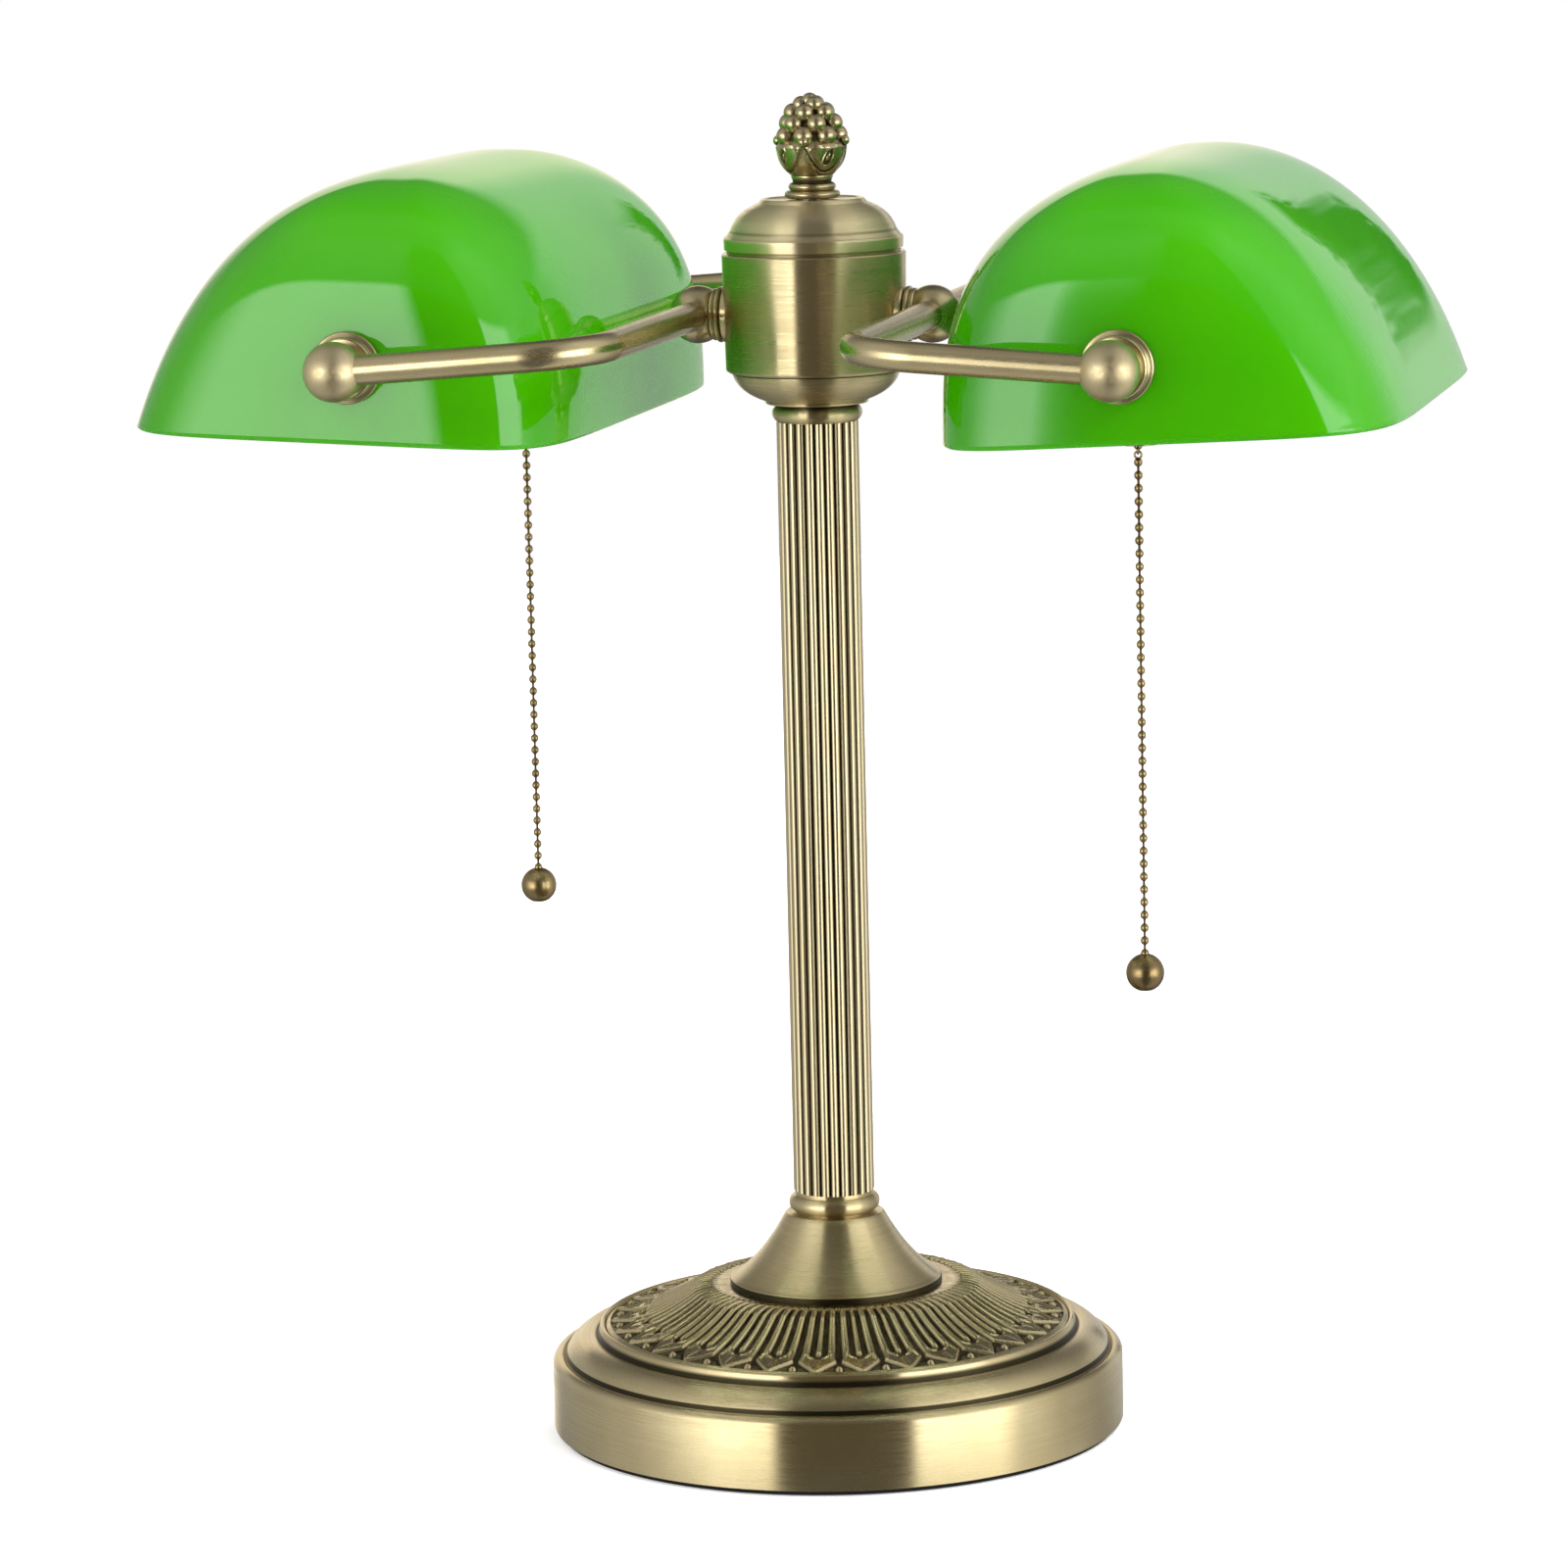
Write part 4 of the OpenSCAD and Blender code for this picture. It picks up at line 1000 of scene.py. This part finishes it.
string = place(bead_string("string"), at_chain())
eye = place(torus("eye", 1.0, 0.3), at_chain(high("right_pull_chain").z - 1.3)
            @ Matrix.Rotation(math.pi / 2, 4, "X"))
string_dark = np.empty(len(string.data.vertices), np.float32)
string.data.attributes["patina_shade"].data.foreach_get("value", string_dark)
obj = join("string", [string, eye])
eye_dark = np.full(len(obj.data.vertices) - len(string_dark), 0.4)
set_patina_shade(obj.data, np.concatenate([string_dark, eye_dark]))
pair("pull_chain", obj, "chain", "pull_chain", dark_brass)

ball_z = pull_top - pull_r
line = ([(1.6, -pull_r + 2.1), (1.6, -pull_r + 0.5)]
        + arc(0, 0, pull_r, math.degrees(math.asin((-pull_r + 0.5) / pull_r)), 76, 40)
        + [(1.3, pull_r - 0.6), (1.3, pull_r - 1.5), (0.02, pull_r - 1.5), (0.02, -pull_r + 2.1)])
obj = place(mark_turned(revolve("pull_ball", line, 112, 0.12)), at_chain(ball_z))
pair("pull_ball", obj, "chain", "pull_ball", dark_brass)

# ---- CAD solids that keep their own shape: hidden nuts, studs, rings and the weight ----

KEPT = {
    "base_weight": iron, "tie_rod": steel, "rod_washers": steel, "rod_locknuts": steel,
    "wire_connectors": ivory_plastic,
}
for side in ("right", "left"):
    for node in ("swivel_stud", "swivel_washer", "swivel_nut", "socket_nipple", "pivot_stud",
                 "stud_nut"):
        KEPT[f"{side}_{node}"] = steel
    KEPT[f"{side}_gaskets"] = rubber
    KEPT[f"{side}_pull_rod"] = dark_brass
    KEPT[f"{side}_pull_link"] = dark_brass
for node, material in KEPT.items():
    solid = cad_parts[node]
    solid.data.materials.clear()
    solid.data.materials.append(material)
    solid.data.polygons.foreach_set("material_index", [0] * len(solid.data.polygons))
    solid.data.shade_smooth()
    solid.data.set_sharp_from_angle(angle=math.radians(30))

# ---- floor, light and camera ----

AZIMUTH, PITCH, ROLL = math.radians(13.391), math.radians(9.082), math.radians(1.32)
DISTANCE = 1.86766

right = Vector((math.cos(AZIMUTH), math.sin(AZIMUTH), 0))
back = Vector((math.sin(AZIMUTH) * math.cos(PITCH), -math.cos(AZIMUTH) * math.cos(PITCH),
               math.sin(PITCH)))
up = back.cross(right)
target = Vector((0, 0, 0.1987)) - 0.012516 * right
eye_at = target + DISTANCE * back
across = math.cos(ROLL) * right - math.sin(ROLL) * up
upward = math.sin(ROLL) * right + math.cos(ROLL) * up
lens = bpy.data.cameras.new("camera")
lens.lens, lens.sensor_width = 141.5, 36
lens.clip_start, lens.clip_end = 0.05, 200
camera = bpy.data.objects.new("camera", lens)
turn = Matrix((across, upward, back)).transposed().to_4x4()
camera.matrix_world = Matrix.Translation(eye_at) @ turn
bpy.context.scene.collection.objects.link(camera)
bpy.context.scene.camera = camera


def floor_disc(radius=2.2, rings=10, sides=96):
    points, faces = [(0, 0, 0)], []
    for i in range(1, rings + 1):
        r = radius * (i / rings) ** 3 / MM
        points += [(r * math.cos(2 * math.pi * k / sides), r * math.sin(2 * math.pi * k / sides), 0)
                   for k in range(sides)]
    faces += [(0, 1 + k, 1 + (k + 1) % sides) for k in range(sides)]
    faces += grid_faces(rings, sides, start=1)
    return make_mesh("floor", points, faces)


def floor_material():
    s = Shader("pale_floor")
    grain = s.noise(s.position(), 30, 3)
    s.set(Base_Color=s.blend(grain, (0.86, 0.86, 0.86), (0.89, 0.89, 0.89)), Roughness=0.9,
          Specular_IOR_Level=0.2, Emission_Color=(1, 1, 1, 1), Emission_Strength=0.4)
    return s.material


floor = floor_disc()
floor.data.materials.append(floor_material())
floor.location.z = -0.0002
floor.visible_glossy = False


ROOM = 5.0                          # brightness that the levels below are parts of


def grey(level):
    return (level, level, level)


BOX = grey(0.8)                     # the two soft boxes
DIM = (0.026, 0.02, 0.011)          # the gap between them
BACK = (0.22, 0.2, 0.17)            # the wall behind the lamp
CEILING = grey(0.07)
PATCH = grey(0.008)                 # the ragged dark patch

# brightness by bearing in degrees: 0 is the camera's side and 90 its right hand
LOW_STOPS = [(-180, BACK), (-165, BACK), (-150, grey(0.1)), (-112, grey(0.105)),
             (-90, grey(0.14)), (-76, grey(0.26)), (-60, grey(0.55)), (-48, BOX), (-28, BOX),
             (-24.5, DIM), (28, DIM), (31, BOX), (66, BOX), (76, grey(0.3)), (100, grey(0.13)),
             (128, grey(0.1)), (148, grey(0.15)), (163, grey(0.13)), (171, grey(0.13)),
             (176, BACK), (180, BACK)]
HIGH_STOPS = [(-180, grey(0.02)), (-156, grey(0.04)), (-110, grey(0.11)), (-75, grey(0.12)),
              (-50, grey(0.12)), (-30, grey(0.11)), (-22, grey(0.03)), (25, grey(0.03)),
              (33, grey(0.12)), (66, grey(0.16)), (84, grey(0.18)), (104, grey(0.16)),
              (130, grey(0.08)), (160, grey(0.03)), (180, grey(0.02))]
PATCH_STOPS = [(157.0, grey(0.0)), (157.6, grey(1.0)), (161.8, grey(1.0)), (162.4, grey(0.0))]
PATCH_SLANT = 0.25                  # how far the patch leans, degrees of bearing for each of height

# where each layer takes over, by degrees of height
BOX_EDGE = [(0, 0), (16, 0), (19.5, 1)]
PATCH_EDGE = [(1.5, 0), (3, 1), (12, 1), (14, 0)]
CEILING_EDGE = [(0, 0), (60, 0), (76, 1)]


def by_bearing(stops):
    return [((degrees + 180) / 360, level) for degrees, level in stops]


def by_pitch(stops):
    return [(degrees / 90, grey(level)) for degrees, level in stops]


def studio():
    """Soft room for gloss and metal to mirror, and a white backdrop for the camera.

    Two soft boxes stand level with the lamp with a dark gap between them, the walls over them
    are dimmer, the ceiling is dim, and one dark patch with a ragged edge hangs at the back.
    """
    world = bpy.data.worlds.new("studio")
    bpy.context.scene.world = world
    world.use_nodes = True
    n = Nodes(world.node_tree)
    way = n.new("TexCoord").outputs["Generated"]
    spin = n.new("VectorRotate")
    spin.rotation_type = "Z_AXIS"
    n.put(spin, "Angle", -AZIMUTH)
    n.put(spin, "Vector", way)
    parts = n.new("SeparateXYZ")
    n.put(parts, 0, spin.outputs[0])
    toward_camera = n.math("MULTIPLY", parts.outputs[1], -1.0)
    turn = n.math("ARCTAN2", parts.outputs[0], toward_camera)
    bearing = n.math("ADD", n.math("DIVIDE", turn, 2 * math.pi), 0.5)
    pitch = n.math("DIVIDE", n.math("ARCSINE", parts.outputs[2]), math.pi / 2)

    past_boxes = n.ramp(n.math("ABSOLUTE", n.math("SUBTRACT", pitch, 2 / 90)), by_pitch(BOX_EDGE))
    level = n.blend(past_boxes, n.ramp(bearing, by_bearing(LOW_STOPS)),
                    n.ramp(bearing, by_bearing(HIGH_STOPS)))
    ragged = n.math("SUBTRACT", n.noise(way, 70, 2.0, 0.5), 0.5)
    slanted = n.math("SUBTRACT", n.math("ADD", bearing, n.math("MULTIPLY", ragged, 0.012)),
                     n.math("MULTIPLY", pitch, PATCH_SLANT * 90 / 360))
    patch = n.math("MULTIPLY", n.ramp(slanted, by_bearing(PATCH_STOPS)),
                   n.ramp(pitch, by_pitch(PATCH_EDGE)))
    level = n.blend(patch, level, PATCH)
    level = n.blend(n.ramp(pitch, by_pitch(CEILING_EDGE)), level, CEILING)

    room, white, mix = n.new("Background"), n.new("Background"), n.new("MixShader")
    n.put(room, 0, level)
    n.put(room, 1, ROOM)
    n.put(white, 0, (1, 1, 1, 1))
    n.put(mix, 0, n.new("LightPath").outputs["Is Camera Ray"])
    n.put(mix, 1, room.outputs[0])
    n.put(mix, 2, white.outputs[0])
    n.put(n.new("OutputWorld"), "Surface", mix.outputs[0])


studio()


def lamp(name, bearing, pitch, distance, width, height, power):
    """Soft box aimed at the lamp from a bearing off the camera's side."""
    data = bpy.data.lights.new(name, "AREA")
    data.shape = "RECTANGLE"
    data.size, data.size_y, data.energy = width, height, power
    obj = bpy.data.objects.new(name, data)
    a = AZIMUTH + math.radians(bearing)
    e = math.radians(pitch)
    way = Vector((math.sin(a) * math.cos(e), -math.cos(a) * math.cos(e), math.sin(e)))
    obj.location = Vector((0, 0, 0.2)) + distance * way
    obj.rotation_euler = way.to_track_quat("Z", "Y").to_euler()
    obj.visible_camera = False
    obj.visible_glossy = False
    bpy.context.scene.collection.objects.link(obj)


lamp("key", -40, 48, 2.6, 1.6, 1.6, 24)
lamp("fill", 50, 48, 1.5, 1.0, 1.0, 24)
lamp("rim", 150, 50, 2.6, 1.6, 1.6, 46)

bpy.context.scene.view_settings.view_transform = "Standard"
bpy.context.view_layer.update()
